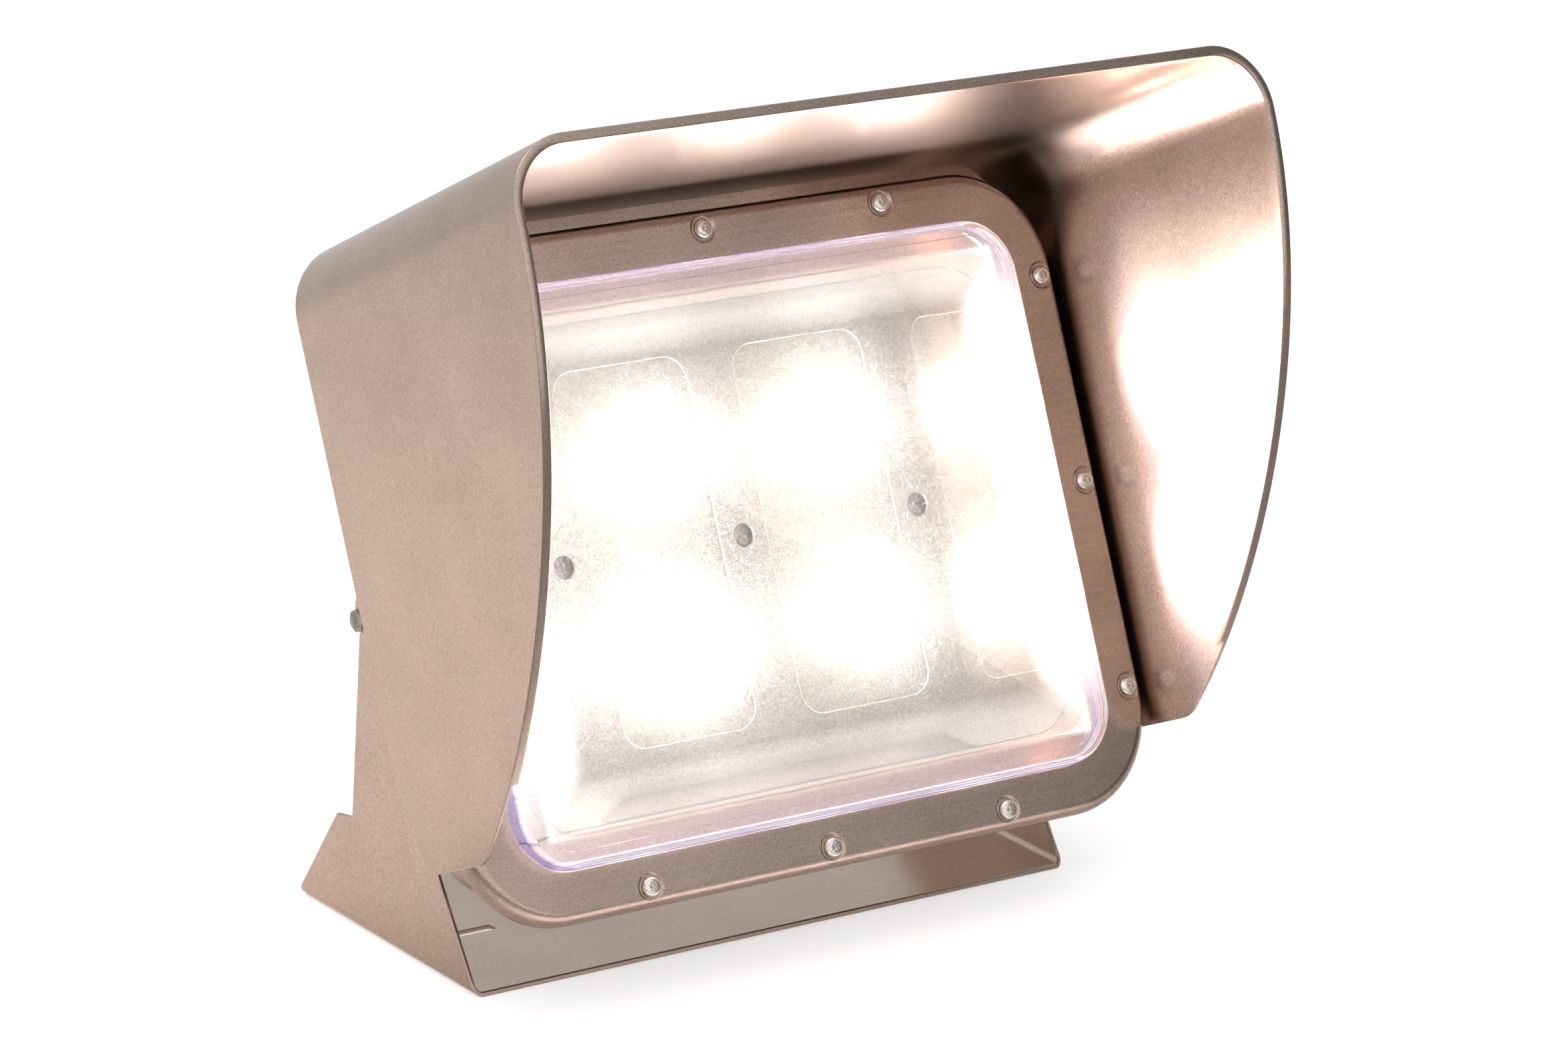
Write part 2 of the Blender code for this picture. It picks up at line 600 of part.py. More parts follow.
# Pivot hardware: bolts from outside through the arms and the head's ears into lock nuts
def make_pivots():
    arm_outside = BRACKET_WIDTH / 2
    nut_outside = EAR_OUTSIDE - EAR_SHEET - GAP
    head_inside = arm_outside + PIVOT_WASHER_THICKNESS + 2 * GAP
    shank = head_inside - nut_outside + LOCK_NUT_HEIGHT + BOLT_BEYOND_NUT
    pivot = Matrix.Translation((0.0, PIVOT_BEHIND_CENTRE, PIVOT_HEIGHT))
    for side, word in ((-1, "left"), (1, "right")):
        outward = pivot @ Matrix.Rotation(side * pi / 2, 4, "Y")
        lift = outward @ Matrix.Translation((0.0, 0.0, head_inside + PIVOT_HEAD_HEIGHT / 2))
        head = slab("bolt head", [hexagon(PIVOT_HEAD_ACROSS_FLATS)], PIVOT_HEAD_HEIGHT)
        bolt = add_piece(f"pivot_bolt_{word}", head, zinc_steel, None, lift)
        radius = PIVOT_BOLT_DIAMETER / 2
        rod = pegs("bolt shank", [(0.0, 0.0)], [(radius, 0.0), (radius, -shank - PIVOT_HEAD_HEIGHT / 2)])
        combine(bolt, add_tool(f"bolt shank {word}", rod, None, lift), "UNION")
        hole = circle(PIVOT_BOLT_DIAMETER / 2 + GAP)
        rim = circle(PIVOT_WASHER_DIAMETER / 2, steps=2 * TURN_STEPS)
        washer = slab("washer", [rim, hole], PIVOT_WASHER_THICKNESS)
        seat = outward @ Matrix.Translation((0.0, 0.0, arm_outside + GAP + PIVOT_WASHER_THICKNESS / 2))
        add_piece(f"pivot_washer_{word}", washer, zinc_steel, None, seat)
        nut = slab("lock nut", [hexagon(PIVOT_HEAD_ACROSS_FLATS), hole], LOCK_NUT_HEIGHT)
        seat = outward @ Matrix.Translation((0.0, 0.0, nut_outside - LOCK_NUT_HEIGHT / 2))
        add_piece(f"lock_nut_{word}", nut, zinc_steel, None, seat)
        make_ear(word, side)


def make_ear(word, side):
    """An angle on the back of the housing's second step that carries the pivot."""
    back = SECOND_STEP_DEPTH + GAP
    tip = FACE_AHEAD_OF_PIVOT + EAR_EYE_RADIUS
    inside = EAR_OUTSIDE - EAR_SHEET
    foot = EAR_OUTSIDE - EAR_FOOT
    angle = [(EAR_OUTSIDE, -back), (EAR_OUTSIDE, -tip - GAP), (inside, -tip - GAP)]
    angle += [(inside, -back - EAR_SHEET), (foot, -back - EAR_SHEET), (foot, -back)]
    corners = [Vector((side * x, y)) for x, y in angle]
    mesh = slab("ear", [corners], EAR_HEIGHT, PLAN_VIEW)
    ear = add_piece(f"pivot_ear_{word}", mesh, satin_steel, head_axis, in_head())
    wide = EAR_HEIGHT / 2 + GAP
    shape = [(back - GAP, wide, 0.0), (back - GAP, -wide, 0.0)]
    shape += [(back + EAR_SHOULDER, -wide, EAR_SHOULDER_RADIUS)]
    shape += [(tip, -EAR_EYE_RADIUS, EAR_EYE_RADIUS), (tip, EAR_EYE_RADIUS, EAR_EYE_RADIUS)]
    shape += [(back + EAR_SHOULDER, wide, EAR_SHOULDER_RADIUS)]
    trim = slab("ear outline", [rounded_outline(shape)], 2 * BRACKET_WIDTH, HEAD_SIDE_VIEW)
    combine(ear, add_tool(f"ear outline {word}", trim, head_axis, in_head()), "INTERSECT")
    bore = pegs("ear bore", [(0.0, 0.0)], pivot_levels(BRACKET_WIDTH))
    place = Matrix.Rotation(pi / 2, 4, "Y")
    combine(ear, add_tool(f"ear bore {word}", bore, head_axis, place))


# The bezel
def make_bezel():
    face = [bezel_section(0.0, 0.0, BEZEL_ROLL), bezel_section(0.0, -BEZEL_SKIRT)]
    face += [bezel_section(BEZEL_SHEET, -BEZEL_SKIRT)]
    face += [bezel_section(BEZEL_SHEET, -BEZEL_SHEET, BEZEL_ROLL - BEZEL_SHEET)]
    face += [(OPENING_WIDTH, OPENING_HEIGHT, OPENING_CORNER, -BEZEL_SHEET, 0.0)]
    face += [(OPENING_WIDTH, OPENING_HEIGHT, OPENING_CORNER, 0.0, 0.0)]
    bezel = add_piece("bezel", frame_loft("bezel", soften(face, 4)), satin_steel, head_axis, in_head())
    seats = [(SEAT_DIAMETER / 2, BEZEL_ROLL), (SEAT_DIAMETER / 2, -SEAT_DEPTH)]
    seats += [(SCREW_DIAMETER / 2 + GAP, -SEAT_DEPTH), (SCREW_DIAMETER / 2 + GAP, -BEZEL_SKIRT)]
    cutter = pegs("screw seats", bezel_screw_places().values(), seats, steps=SEAT_STEPS)
    combine(bezel, add_tool("screw seats", cutter, head_axis, in_head()))


def make_bezel_screws():
    for place_name, (x, y) in bezel_screw_places().items():
        place = in_head(x, y, GAP - SEAT_DEPTH)
        button_screw(f"bezel_screw_{place_name}", SCREW_HEAD_DIAMETER, SCREW_HEAD_HEIGHT, SCREW_DIAMETER,
                     SCREW_LENGTH, stainless, place, (SCREW_SOCKET_DIAMETER, SCREW_SOCKET_DEPTH))


# The lens: its flange lies in the housing's rebate and its dome stands out of the bezel
def lens_section(amount, depth, rounding=0.0):
    """A section drawn in from the bezel's opening."""
    return inset(OPENING_WIDTH, OPENING_HEIGHT, OPENING_CORNER, amount, depth, rounding)


def make_lens():
    flange_front = -BEZEL_SHEET - GAP
    flange_back = flange_front - LENS_THICKNESS
    ridge = LENS_STAND - LENS_RIDGE_DROP
    dish = ridge - LENS_DISH_DROP
    middle = LENS_RIM + LENS_DISH_WIDTH
    outer = [frame_section(LENS_FLANGE_INSET, flange_back), frame_section(LENS_FLANGE_INSET, flange_front)]
    outer += [lens_section(GAP, flange_front), lens_section(GAP, LENS_STAND, LENS_EDGE_ROUNDING)]
    outer += [lens_section(LENS_RIM, LENS_STAND), lens_section(LENS_RIM + LENS_RIDGE_DROP, ridge)]
    outer += [lens_section(middle, dish)]
    inner = [lens_section(middle, dish - LENS_THICKNESS)]
    inner += [lens_section(LENS_RIM + LENS_RIDGE_DROP, ridge - LENS_THICKNESS)]
    inner += [lens_section(GAP + LENS_THICKNESS, ridge - LENS_THICKNESS)]
    inner += [lens_section(GAP + LENS_THICKNESS, flange_back)]
    sections = soften(inner + outer, 3)
    add_piece("lens", frame_loft("lens", sections, closed=False), clear_moulding, head_axis, in_head())


def make_lens_gasket():
    front = -BEZEL_SHEET - LENS_THICKNESS - 2 * GAP
    back = front - GASKET_THICKNESS
    sections = []
    for amount, depth in ((0.0, front), (0.0, back), (GASKET_WIDTH, back), (GASKET_WIDTH, front)):
        sections.append(frame_section(LENS_FLANGE_INSET + amount, depth)[:4])
    add_piece("lens_gasket", frame_loft("lens_gasket", sections), rubber, head_axis, in_head())


# The housing, one closed run of sections: down its outside and back up its inside
def stepped(size, corner, amount, depth, rounding=0.0):
    """A section drawn in from one of the housing's steps."""
    return inset(size[0], size[1], corner, amount, depth, rounding)


def housing_sections():
    land = -BEZEL_SHEET - GAP
    rebate = -REBATE_DEPTH
    wall = HOUSING_SHEET
    soft = PRESSED_ROUNDING
    hollow = HOLLOW_ROUNDING
    first, second, rear = -FIRST_STEP_DEPTH, -SECOND_STEP_DEPTH, -BOX_DEPTH
    outside = [frame_section(LIP_INSET, rebate), frame_section(REBATE_INSET, rebate)]
    outside += [frame_section(REBATE_INSET, land), frame_section(0.0, land, BEZEL_ROLL - BEZEL_SHEET)]
    outside += [stepped(FIRST_STEP_SIZE, FIRST_STEP_CORNER, 0.0, first, soft)]
    outside += [stepped(SECOND_STEP_SIZE, SECOND_STEP_CORNER, 0.0, first, hollow)]
    outside += [stepped(SECOND_STEP_SIZE, SECOND_STEP_CORNER, DRAFT, second, soft)]
    outside += [stepped(BOX_SIZE, BOX_CORNER, 0.0, second, hollow)]
    outside += [stepped(BOX_SIZE, BOX_CORNER, DRAFT, rear, hollow)]
    outside += [stepped(BOX_SIZE, BOX_CORNER, BOX_LEDGE, rear)]
    inside = [stepped(BOX_SIZE, BOX_CORNER, BOX_LEDGE, rear + wall)]
    inside += [stepped(BOX_SIZE, BOX_CORNER, wall + DRAFT, rear + wall)]
    inside += [stepped(BOX_SIZE, BOX_CORNER, wall, second + wall)]
    inside += [stepped(SECOND_STEP_SIZE, SECOND_STEP_CORNER, wall + DRAFT, second + wall)]
    inside += [stepped(SECOND_STEP_SIZE, SECOND_STEP_CORNER, wall, first + wall)]
    inside += [stepped(FIRST_STEP_SIZE, FIRST_STEP_CORNER, wall, first + wall)]
    inside += [frame_section(wall, -FRAME_DEPTH), frame_section(LIP_INSET, -FRAME_DEPTH)]
    return outside + inside


def make_housing():
    shell = frame_loft("lamp_housing", soften(housing_sections()))
    housing = add_piece("lamp_housing", shell, drawn_steel, head_axis, in_head())
    bore = SCREW_DIAMETER / 2 + GAP
    levels = [(bore, 0.0), (bore, -SCREW_LENGTH - BORE_SPARE)]
    bores = pegs("bezel screw bores", bezel_screw_places().values(), levels, steps=BORE_STEPS)
    combine(housing, add_tool("bezel screw bores", bores, head_axis, in_head()))
    depth = -FIRST_STEP_DEPTH
    levels = [(bore, depth + 3 * HOUSING_SHEET), (bore, depth - HOUSING_SHEET)]
    bores = pegs("hood screw bores", hood_screw_places(), levels, steps=BORE_STEPS)
    combine(housing, add_tool("hood screw bores", bores, head_axis, in_head()))
    bore = COVER_SCREW_DIAMETER / 2 + GAP
    levels = [(bore, 3 * HOUSING_SHEET - BOX_DEPTH), (bore, -BOX_DEPTH - HOUSING_SHEET)]
    bores = pegs("cover screw bores", cover_screw_places(), levels, steps=BORE_STEPS)
    combine(housing, add_tool("cover screw bores", bores, head_axis, in_head()))
    for name, place, thread in entry_places():
        radius = thread / 2 + GAP
        bores = pegs(name, [(0.0, 0.0)], [(radius, 4 * HOUSING_SHEET), (radius, -4 * HOUSING_SHEET)])
        combine(housing, add_tool(name, bores, head_axis, place))


def entry_places():
    """The gland's and the vent's bores in the bottom of the rear box, seen from inside it."""
    depth = -(SECOND_STEP_DEPTH + BOX_DEPTH) / 2
    height = DRAFT / 2 - BOX_SIZE[1] / 2
    turn = Matrix.Rotation(-pi / 2, 4, "X")
    gland = in_head(GLAND_ACROSS, height, depth) @ turn
    vent = in_head(-GLAND_ACROSS, height, depth) @ turn
    return [("gland bore", gland, GLAND_THREAD_DIAMETER), ("vent bore", vent, VENT_THREAD_DIAMETER)]


# Rear cover, its gasket and screws
def cover_screw_places():
    """Where the middle of the box's ledge rounds its four corners."""
    shift = (BOX_CORNER - BOX_LEDGE / 2) * (1 - cos(pi / 4))
    across = BOX_SIZE[0] / 2 - DRAFT - BOX_LEDGE / 2 - shift
    up = BOX_SIZE[1] / 2 - DRAFT - BOX_LEDGE / 2 - shift
    return [(x * across, y * up) for x in (-1, 1) for y in (-1, 1)]


def make_rear_cover():
    outline = rounded_outline(rectangle(*stepped(BOX_SIZE, BOX_CORNER, DRAFT, 0.0)[:3]))
    window = rounded_outline(rectangle(*stepped(BOX_SIZE, BOX_CORNER, BOX_LEDGE, 0.0)[:3]))
    holes = [circle(COVER_SCREW_DIAMETER / 2 + GAP, place) for place in cover_screw_places()]
    gasket = slab("cover_gasket", [outline, window] + holes, COVER_GASKET_THICKNESS)
    back = -BOX_DEPTH - GAP
    middle = in_head(z=back - COVER_GASKET_THICKNESS / 2)
    add_piece("cover_gasket", gasket, rubber, head_axis, middle)
    back -= COVER_GASKET_THICKNESS + GAP
    cover = slab("rear_cover", [outline] + holes, COVER_SHEET)
    add_piece("rear_cover", cover, satin_steel, head_axis, in_head(z=back - COVER_SHEET / 2))
    back -= COVER_SHEET + GAP
    for index, (x, y) in enumerate(cover_screw_places()):
        place = in_head(x, y, back) @ Matrix.Rotation(pi, 4, "X")
        button_screw(f"cover_screw_{index + 1}", COVER_SCREW_HEAD_DIAMETER, COVER_SCREW_HEAD_HEIGHT,
                     COVER_SCREW_DIAMETER, COVER_SCREW_LENGTH, stainless, place)


# The hood
def hood_half_width(z, y):
    """Outside of a side panel at a depth z and a height y."""
    return HOOD_HALF_WIDTH + HOOD_FLARE * z + HOOD_LEAN * y


def hood_top(z):
    return HOOD_TOP + HOOD_RISE * z


def hood_front_edge():
    """A side panel's front edge as (z, y), up from its rounded lower corner."""
    lean = radians(HOOD_CHIN_DEGREES)
    chin = Vector((HOOD_CHIN_AHEAD, -HOOD_BOTTOM))
    along_edge = Vector((sin(lean), cos(lean)))
    reach = HOOD_CHIN_RADIUS * tan((pi / 2 - lean) / 2)
    first = chin + along_edge * reach
    nose = Vector((HOOD_REACH, hood_top(HOOD_REACH) - HOOD_BEND))
    points = []
    centre = Vector((HOOD_CHIN_AHEAD - reach, HOOD_CHIN_RADIUS - HOOD_BOTTOM))
    for step in range(HOOD_CHIN_STEPS):
        angle = (pi / 2 - lean) * step / HOOD_CHIN_STEPS - pi / 2
        points.append(centre + HOOD_CHIN_RADIUS * Vector((cos(angle), sin(angle))))
    pulls = (first, first + along_edge * HOOD_CHIN_PULL, nose - Vector((0.0, HOOD_NOSE_PULL)), nose)
    for step in range(HOOD_EDGE_STEPS + 1):
        t = step / HOOD_EDGE_STEPS
        weights = ((1 - t) ** 3, 3 * (1 - t) ** 2 * t, 3 * (1 - t) * t**2, t**3)
        points.append(sum((w * p for w, p in zip(weights, pulls)), Vector((0.0, 0.0))))
    return points


def hood_stations():
    """Rear point, front point and outward direction along the hood, from lower left to lower right."""
    left = []
    rear = -HOOD_REAR
    fall = (hood_top(HOOD_REACH) - hood_top(rear)) / (hood_top(HOOD_REACH) - HOOD_BEND + HOOD_BOTTOM)
    for z, y in hood_front_edge():
        rear_y = y - (y + HOOD_BOTTOM) * fall
        rear_point = (hood_half_width(rear, rear_y), rear_y, rear)
        left.append((rear_point, (hood_half_width(z, y), y, z), (1.0, 0.0)))
    for step in range(1, BEND_STEPS + 1):
        angle = pi / 2 * step / BEND_STEPS
        ends = []
        for z in (rear, HOOD_REACH):
            up = hood_top(z) - HOOD_BEND
            across = hood_half_width(z, up) - HOOD_BEND
            ends.append((across + HOOD_BEND * cos(angle), up + HOOD_BEND * sin(angle), z))
        left.append((ends[0], ends[1], (cos(angle), sin(angle))))
    mirrored = [((-a[0], *a[1:]), (-b[0], *b[1:]), (-n[0], n[1])) for a, b, n in left]
    return mirrored + list(reversed(left))


def make_hood():
    rings = []
    for rear, front, outward in hood_stations():
        rear, front = Vector(rear), Vector(front)
        inward = -Vector((*outward, 0.0))
        back = (rear - front).normalized() * HEM_DEPTH
        hemmed = front.y > HEM_ABOVE_BOTTOM - HOOD_BOTTOM
        fold = HEM_THICKNESS if hemmed else HOOD_SHEET
        under_fold = back if hemmed else back / 2
        ring = [rear, front, front + inward * fold, front + under_fold + inward * fold]
        ring += [front + back + inward * HOOD_SHEET, rear + inward * HOOD_SHEET]
        rings.append(ring)
    hood = add_piece("hood", loft("hood", rings), satin_steel, head_axis, in_head())
    back = -FIRST_STEP_DEPTH - GAP
    flange = slab("hood flange", [hood_flange_outline(back)], HOOD_SHEET)
    middle = in_head(z=back - HOOD_SHEET / 2)
    combine(hood, add_tool("hood flange", flange, head_axis, middle), "UNION")
    radius = SCREW_DIAMETER / 2 + GAP
    levels = [(radius, back + HOOD_SHEET), (radius, back - 2 * HOOD_SHEET)]
    holes = pegs("hood screw holes", hood_screw_places(), levels)
    combine(hood, add_tool("hood screw holes", holes, head_axis, in_head()))
    names = ("left_lower", "left_upper", "right_lower", "right_upper")
    for name, (x, y) in zip(names, hood_screw_places()):
        place = in_head(x, y, back - HOOD_SHEET - GAP) @ Matrix.Rotation(pi, 4, "X")
        button_screw(f"hood_screw_{name}", SCREW_HEAD_DIAMETER, SCREW_HEAD_HEIGHT, SCREW_DIAMETER,
                     SCREW_LENGTH, stainless, place)


def hood_flange_outline(depth):
    """The rear flange, down both sides and over the top, round the housing's second step."""
    low = -HOOD_FLANGE_HALF_HEIGHT
    high = hood_top(depth) - HOOD_SHEET / 2
    bottom = hood_half_width(depth, low) - HOOD_SHEET / 2
    top = hood_half_width(depth, high) - HOOD_SHEET / 2
    bend = HOOD_BEND - HOOD_SHEET / 2
    room = HOLLOW_ROUNDING + GAP
    inner = SECOND_STEP_SIZE[0] / 2 + room
    above = SECOND_STEP_SIZE[1] / 2 + room
    corner = SECOND_STEP_CORNER + room
    corners = [(bottom, low, 0.0), (top, high, bend), (-top, high, bend), (-bottom, low, 0.0)]
    corners += [(-inner, low, 0.0), (-inner, above, corner), (inner, above, corner), (inner, low, 0.0)]
    return rounded_outline(corners)


def hood_screw_places():
    across = hood_half_width(-FIRST_STEP_DEPTH, 0.0) - HOOD_SHEET - HOOD_SCREW_INSET
    return [(x * across, y * HOOD_SCREW_HEIGHT) for x in (-1, 1) for y in (-1, 1)]


# The LED plate, and what is fixed parallel to it behind its centre and its wings
def folded_line(offset):
    """Points across a folded sheet as (x, z), at an offset behind the LED plate's front."""
    fold = radians(PLATE_FOLD_DEGREES)
    knee = (PLATE_FOLD - offset * tan(fold / 2), -PLATE_DEPTH - offset)
    x = PLATE_FOLD + WING_LENGTH * cos(fold) - offset * sin(fold)
    z = -PLATE_DEPTH - WING_LENGTH * sin(fold) - offset * cos(fold)
    return [(-x, z), (-knee[0], knee[1]), knee, (x, z)]


def folded_sheet(name, offset, thickness, bottom, top):
    outline = folded_line(offset) + list(reversed(folded_line(offset + thickness)))
    lift = Matrix.Translation((0.0, (bottom + top) / 2, 0.0))
    return slab(name, [outline], top - bottom, lift @ PLAN_VIEW)


def wing(side):
    """Place of a wing's fold line, with x along the wing and z out of its front."""
    turn = Matrix.Rotation(side * radians(PLATE_FOLD_DEGREES), 4, "Y")
    return in_head(side * PLATE_FOLD, 0.0, -PLATE_DEPTH) @ turn


def panels():
    """Place and width of each window, from left to right."""
    places = []
    for side in (-1, 1):
        lift = Matrix.Translation((side * WING_WINDOW_CENTRE, WINDOW_LIFT, 0.0))
        places.append((wing(side) @ lift, WING_WINDOW_WIDTH))
        places.append((in_head(side * WINDOW_PITCH / 2, WINDOW_LIFT, -PLATE_DEPTH), WINDOW_WIDTH))
    return [places[0], places[1], places[3], places[2]]


def plate_screw_places():
    """Places of the plate's screws below and above the windows, one pair in each wing."""
    places = []
    for side, along_wing in ((-1, PLATE_SCREW_FROM_FOLD), (1, WING_LENGTH - PLATE_SCREW_FROM_WING_END)):
        for y in (PLATE_BOTTOM + PLATE_SCREW_FROM_EDGE, PLATE_TOP - PLATE_SCREW_FROM_EDGE):
            places.append(wing(side) @ Matrix.Translation((side * along_wing, y, 0.0)))
    return places


def plate_rise(offset, rolled):
    """Heights up the LED plate and how far each lies back, from its lower edge to its upper one."""
    radius = PLATE_ROLL - offset
    points = []
    for edge, side in ((PLATE_BOTTOM, -1), (PLATE_TOP, 1)):
        beyond = PLATE_ROOM[1] + PLATE_SHEET - side * edge
        bend = []
        for step in range(PLATE_ROLL_STEPS + 1):
            angle = pi / 2 * step / PLATE_ROLL_STEPS
            reach = radius if rolled else beyond
            back = radius * (1 - cos(angle)) if rolled else 0.0
            bend.append((edge + side * reach * sin(angle), back))
        points += bend if side > 0 else reversed(bend)
    return points


def plate_sections():
    """Rings across the LED plate: flat in its wings, with rolled edges between the folds."""
    front = folded_line(0.0)
    back = folded_line(PLATE_SHEET)
    rolled_to = PLATE_FOLD - PLATE_ROLL_RUN_OUT
    stations = [(front[0], back[0], False), (front[1], back[1], False)]
    for x in (-rolled_to, rolled_to):
        stations.append(((x, front[1][1]), (x, back[1][1]), True))
    stations += [(front[2], back[2], False), (front[3], back[3], False)]
    rings = []
    for (front_x, front_z), (back_x, back_z), rolled in stations:
        ring = [(front_x, y, front_z - drop) for y, drop in plate_rise(0.0, rolled)]
        ring += [(back_x, y, back_z - drop) for y, drop in reversed(plate_rise(PLATE_SHEET, rolled))]
        rings.append(ring)
    return rings


def make_led_plate():
    plate = add_piece("led_plate", loft("led_plate", plate_sections()), blasted_metal, head_axis, in_head())
    corner = SECOND_STEP_CORNER - HOUSING_SHEET - DRAFT - GAP
    outline = rounded_outline(rectangle(2 * PLATE_ROOM[0], 2 * PLATE_ROOM[1], corner))
    room = slab("room for the plate", [outline], 2 * BOX_DEPTH)
    room_tool = add_tool("room for the plate", room, head_axis, in_head())
    combine(plate, room_tool, "INTERSECT")
    for index, (place, width) in enumerate(panels()):
        outline = rounded_outline(rectangle(width, WINDOW_HEIGHT, WINDOW_CORNER))
        window = slab("window", [outline], 6 * PLATE_SHEET)
        combine(plate, add_tool(f"window {index + 1}", window, head_axis, place))
    holes = [(x * WINDOW_PITCH, WINDOW_LIFT) for x in (-1, 0, 1)]
    radius = PLATE_HOLE_DIAMETER / 2
    levels = [(radius, -PLATE_DEPTH / 2), (radius, -PLATE_DEPTH - SPREADER_OFFSET)]
    bore = pegs("round holes", holes, levels, steps=SEAT_STEPS)
    combine(plate, add_tool("round holes", bore, head_axis, in_head()))
    screw_tools = []
    radius = PLATE_SCREW_DIAMETER / 2 + GAP
    for index, place in enumerate(plate_screw_places()):
        levels = [(radius, PLATE_SHEET), (radius, -SPREADER_OFFSET - 2 * SPREADER_THICKNESS)]
        bore = pegs("plate screw bore", [(0.0, 0.0)], levels, steps=BORE_STEPS)
        screw_tools.append(add_tool(f"plate screw bore {index + 1}", bore, head_axis, place))
        combine(plate, screw_tools[-1])
        button_screw(f"plate_screw_{index + 1}", PLATE_SCREW_HEAD_DIAMETER, PLATE_SCREW_HEAD_HEIGHT,
                     PLATE_SCREW_DIAMETER, PLATE_SCREW_LENGTH, stainless,
                     place @ Matrix.Translation((0.0, 0.0, GAP)))
    make_spreader(room_tool, screw_tools)


def make_spreader(room_tool, screw_tools):
    """A folded aluminium sheet behind the boards, on standoffs from the housing's back."""
    mesh = folded_sheet("heat_spreader", SPREADER_OFFSET, SPREADER_THICKNESS, PLATE_BOTTOM, PLATE_TOP)
    spreader = add_piece("heat_spreader", mesh, aluminium, head_axis, in_head())
    combine(spreader, room_tool, "INTERSECT")
    for tool in screw_tools:
        combine(spreader, tool)
    fold = radians(PLATE_FOLD_DEGREES)
    across = PLATE_ROOM[0] - STANDOFF_FROM_SIDE
    inside = -PLATE_DEPTH - (across - PLATE_FOLD) * tan(fold) - SPREADER_OFFSET - SPREADER_THICKNESS / 2
    places = [(x * across, y * (PLATE_TOP - STANDOFF_FROM_TOP)) for x in (-1, 1) for y in (-1, 1)]
    floor = HOUSING_SHEET + GAP - SECOND_STEP_DEPTH
    feet = pegs("standoffs", places, [(STANDOFF_DIAMETER / 2, inside), (STANDOFF_DIAMETER / 2, floor)])
    combine(spreader, add_tool("standoffs", feet, head_axis, in_head()), "UNION")


def make_boards_and_emitters():
    depth = -PLATE_SHEET - GAP - BOARD_THICKNESS / 2
    front = -PLATE_SHEET
    number = 0
    for index, (place, width) in enumerate(panels()):
        wide = width + 2 * BOARD_MARGIN
        outline = rectangle(wide, WINDOW_HEIGHT + 2 * BOARD_MARGIN, BOARD_MARGIN)
        board = slab("led_board", [rounded_outline(outline, steps=2)], BOARD_THICKNESS)
        add_piece(f"led_board_{index + 1}", board, board_metal, head_axis,
                  place @ Matrix.Translation((0.0, 0.0, depth)))
        for side in (-1, 1):
            number += 1
            profile = quarter_turn(0.0, EMITTER_DOME_RADIUS, EMITTER_BASE + EMITTER_DOME_HEIGHT, EMITTER_BASE)
            profile += [(EMITTER_DIAMETER / 2, EMITTER_BASE), (EMITTER_DIAMETER / 2, 0.0), (0.0, 0.0)]
            lift = Matrix.Translation((0.0, side * EMITTER_SPREAD, front))
            turned(f"led_emitter_{number}", profile, led_white, head_axis, place @ lift)


# Driver, terminal block, cable gland and vent
def make_driver():
    inside = -BOX_DEPTH - COVER_GASKET_THICKNESS - GAP
    width, height, depth = DRIVER_SIZE
    block("led_driver", (width, height, depth), driver_case, head_axis,
          in_head(0.0, DRIVER_RAISE, inside + depth / 2), DRIVER_BEVEL)
    width, height, depth = TERMINAL_SIZE
    block("terminal_block", (width, height, depth), nylon, head_axis,
          in_head(0.0, -TERMINAL_DROP, inside + depth / 2), TERMINAL_BEVEL)


def make_gland_and_vent():
    (_, gland_place, _), (_, vent_place, _) = entry_places()
    below = -DRAFT - GAP
    hexagonal = slab("gland hexagon", [hexagon(GLAND_HEX_ACROSS_FLATS)], GLAND_HEX_HEIGHT)
    middle = gland_place @ Matrix.Translation((0.0, 0.0, below - GLAND_HEX_HEIGHT / 2))
    gland = add_piece("cable_gland", hexagonal, nylon, head_axis, middle)
    bore = GLAND_CABLE_DIAMETER / 2
    thread = GLAND_THREAD_DIAMETER / 2
    top = HOUSING_SHEET + THREAD_INSIDE
    sleeve = pegs("gland thread", [(0.0, 0.0)], [(thread, top), (thread, below - GLAND_HEX_HEIGHT / 2)])
    combine(gland, add_tool("gland thread", sleeve, head_axis, gland_place), "UNION")
    end = below - GLAND_HEX_HEIGHT
    hole = pegs("gland bore hole", [(0.0, 0.0)], [(bore, top + GAP), (bore, end - GAP)])
    combine(gland, add_tool("gland bore hole", hole, head_axis, gland_place))
    nut_top = end - GAP
    nut_end = nut_top - GLAND_NUT_HEIGHT
    wide = GLAND_NUT_DIAMETER / 2
    profile = [(bore, nut_top), (wide, nut_top)]
    profile += reversed(quarter_turn(GLAND_NUT_MOUTH_DIAMETER / 2, wide, nut_end, nut_top - GLAND_NUT_GRIP))
    profile += [(bore, nut_end), (bore, nut_top)]
    turned("gland_nut", profile, nylon, head_axis, gland_place)
    rim = VENT_DIAMETER / 2
    stem = VENT_THREAD_DIAMETER / 2
    profile = [(0.0, top), (stem, top), (stem, below), (rim, below)]
    end = below - VENT_HEIGHT
    profile += [(rim, end + VENT_CHAMFER), (rim - VENT_CHAMFER, end), (0.0, end)]
    turned("breather_vent", profile, nylon, head_axis, vent_place)


clear_scene()
pieces = new_collection(COLLECTION_NAME)
cutters = new_collection("Cutters")

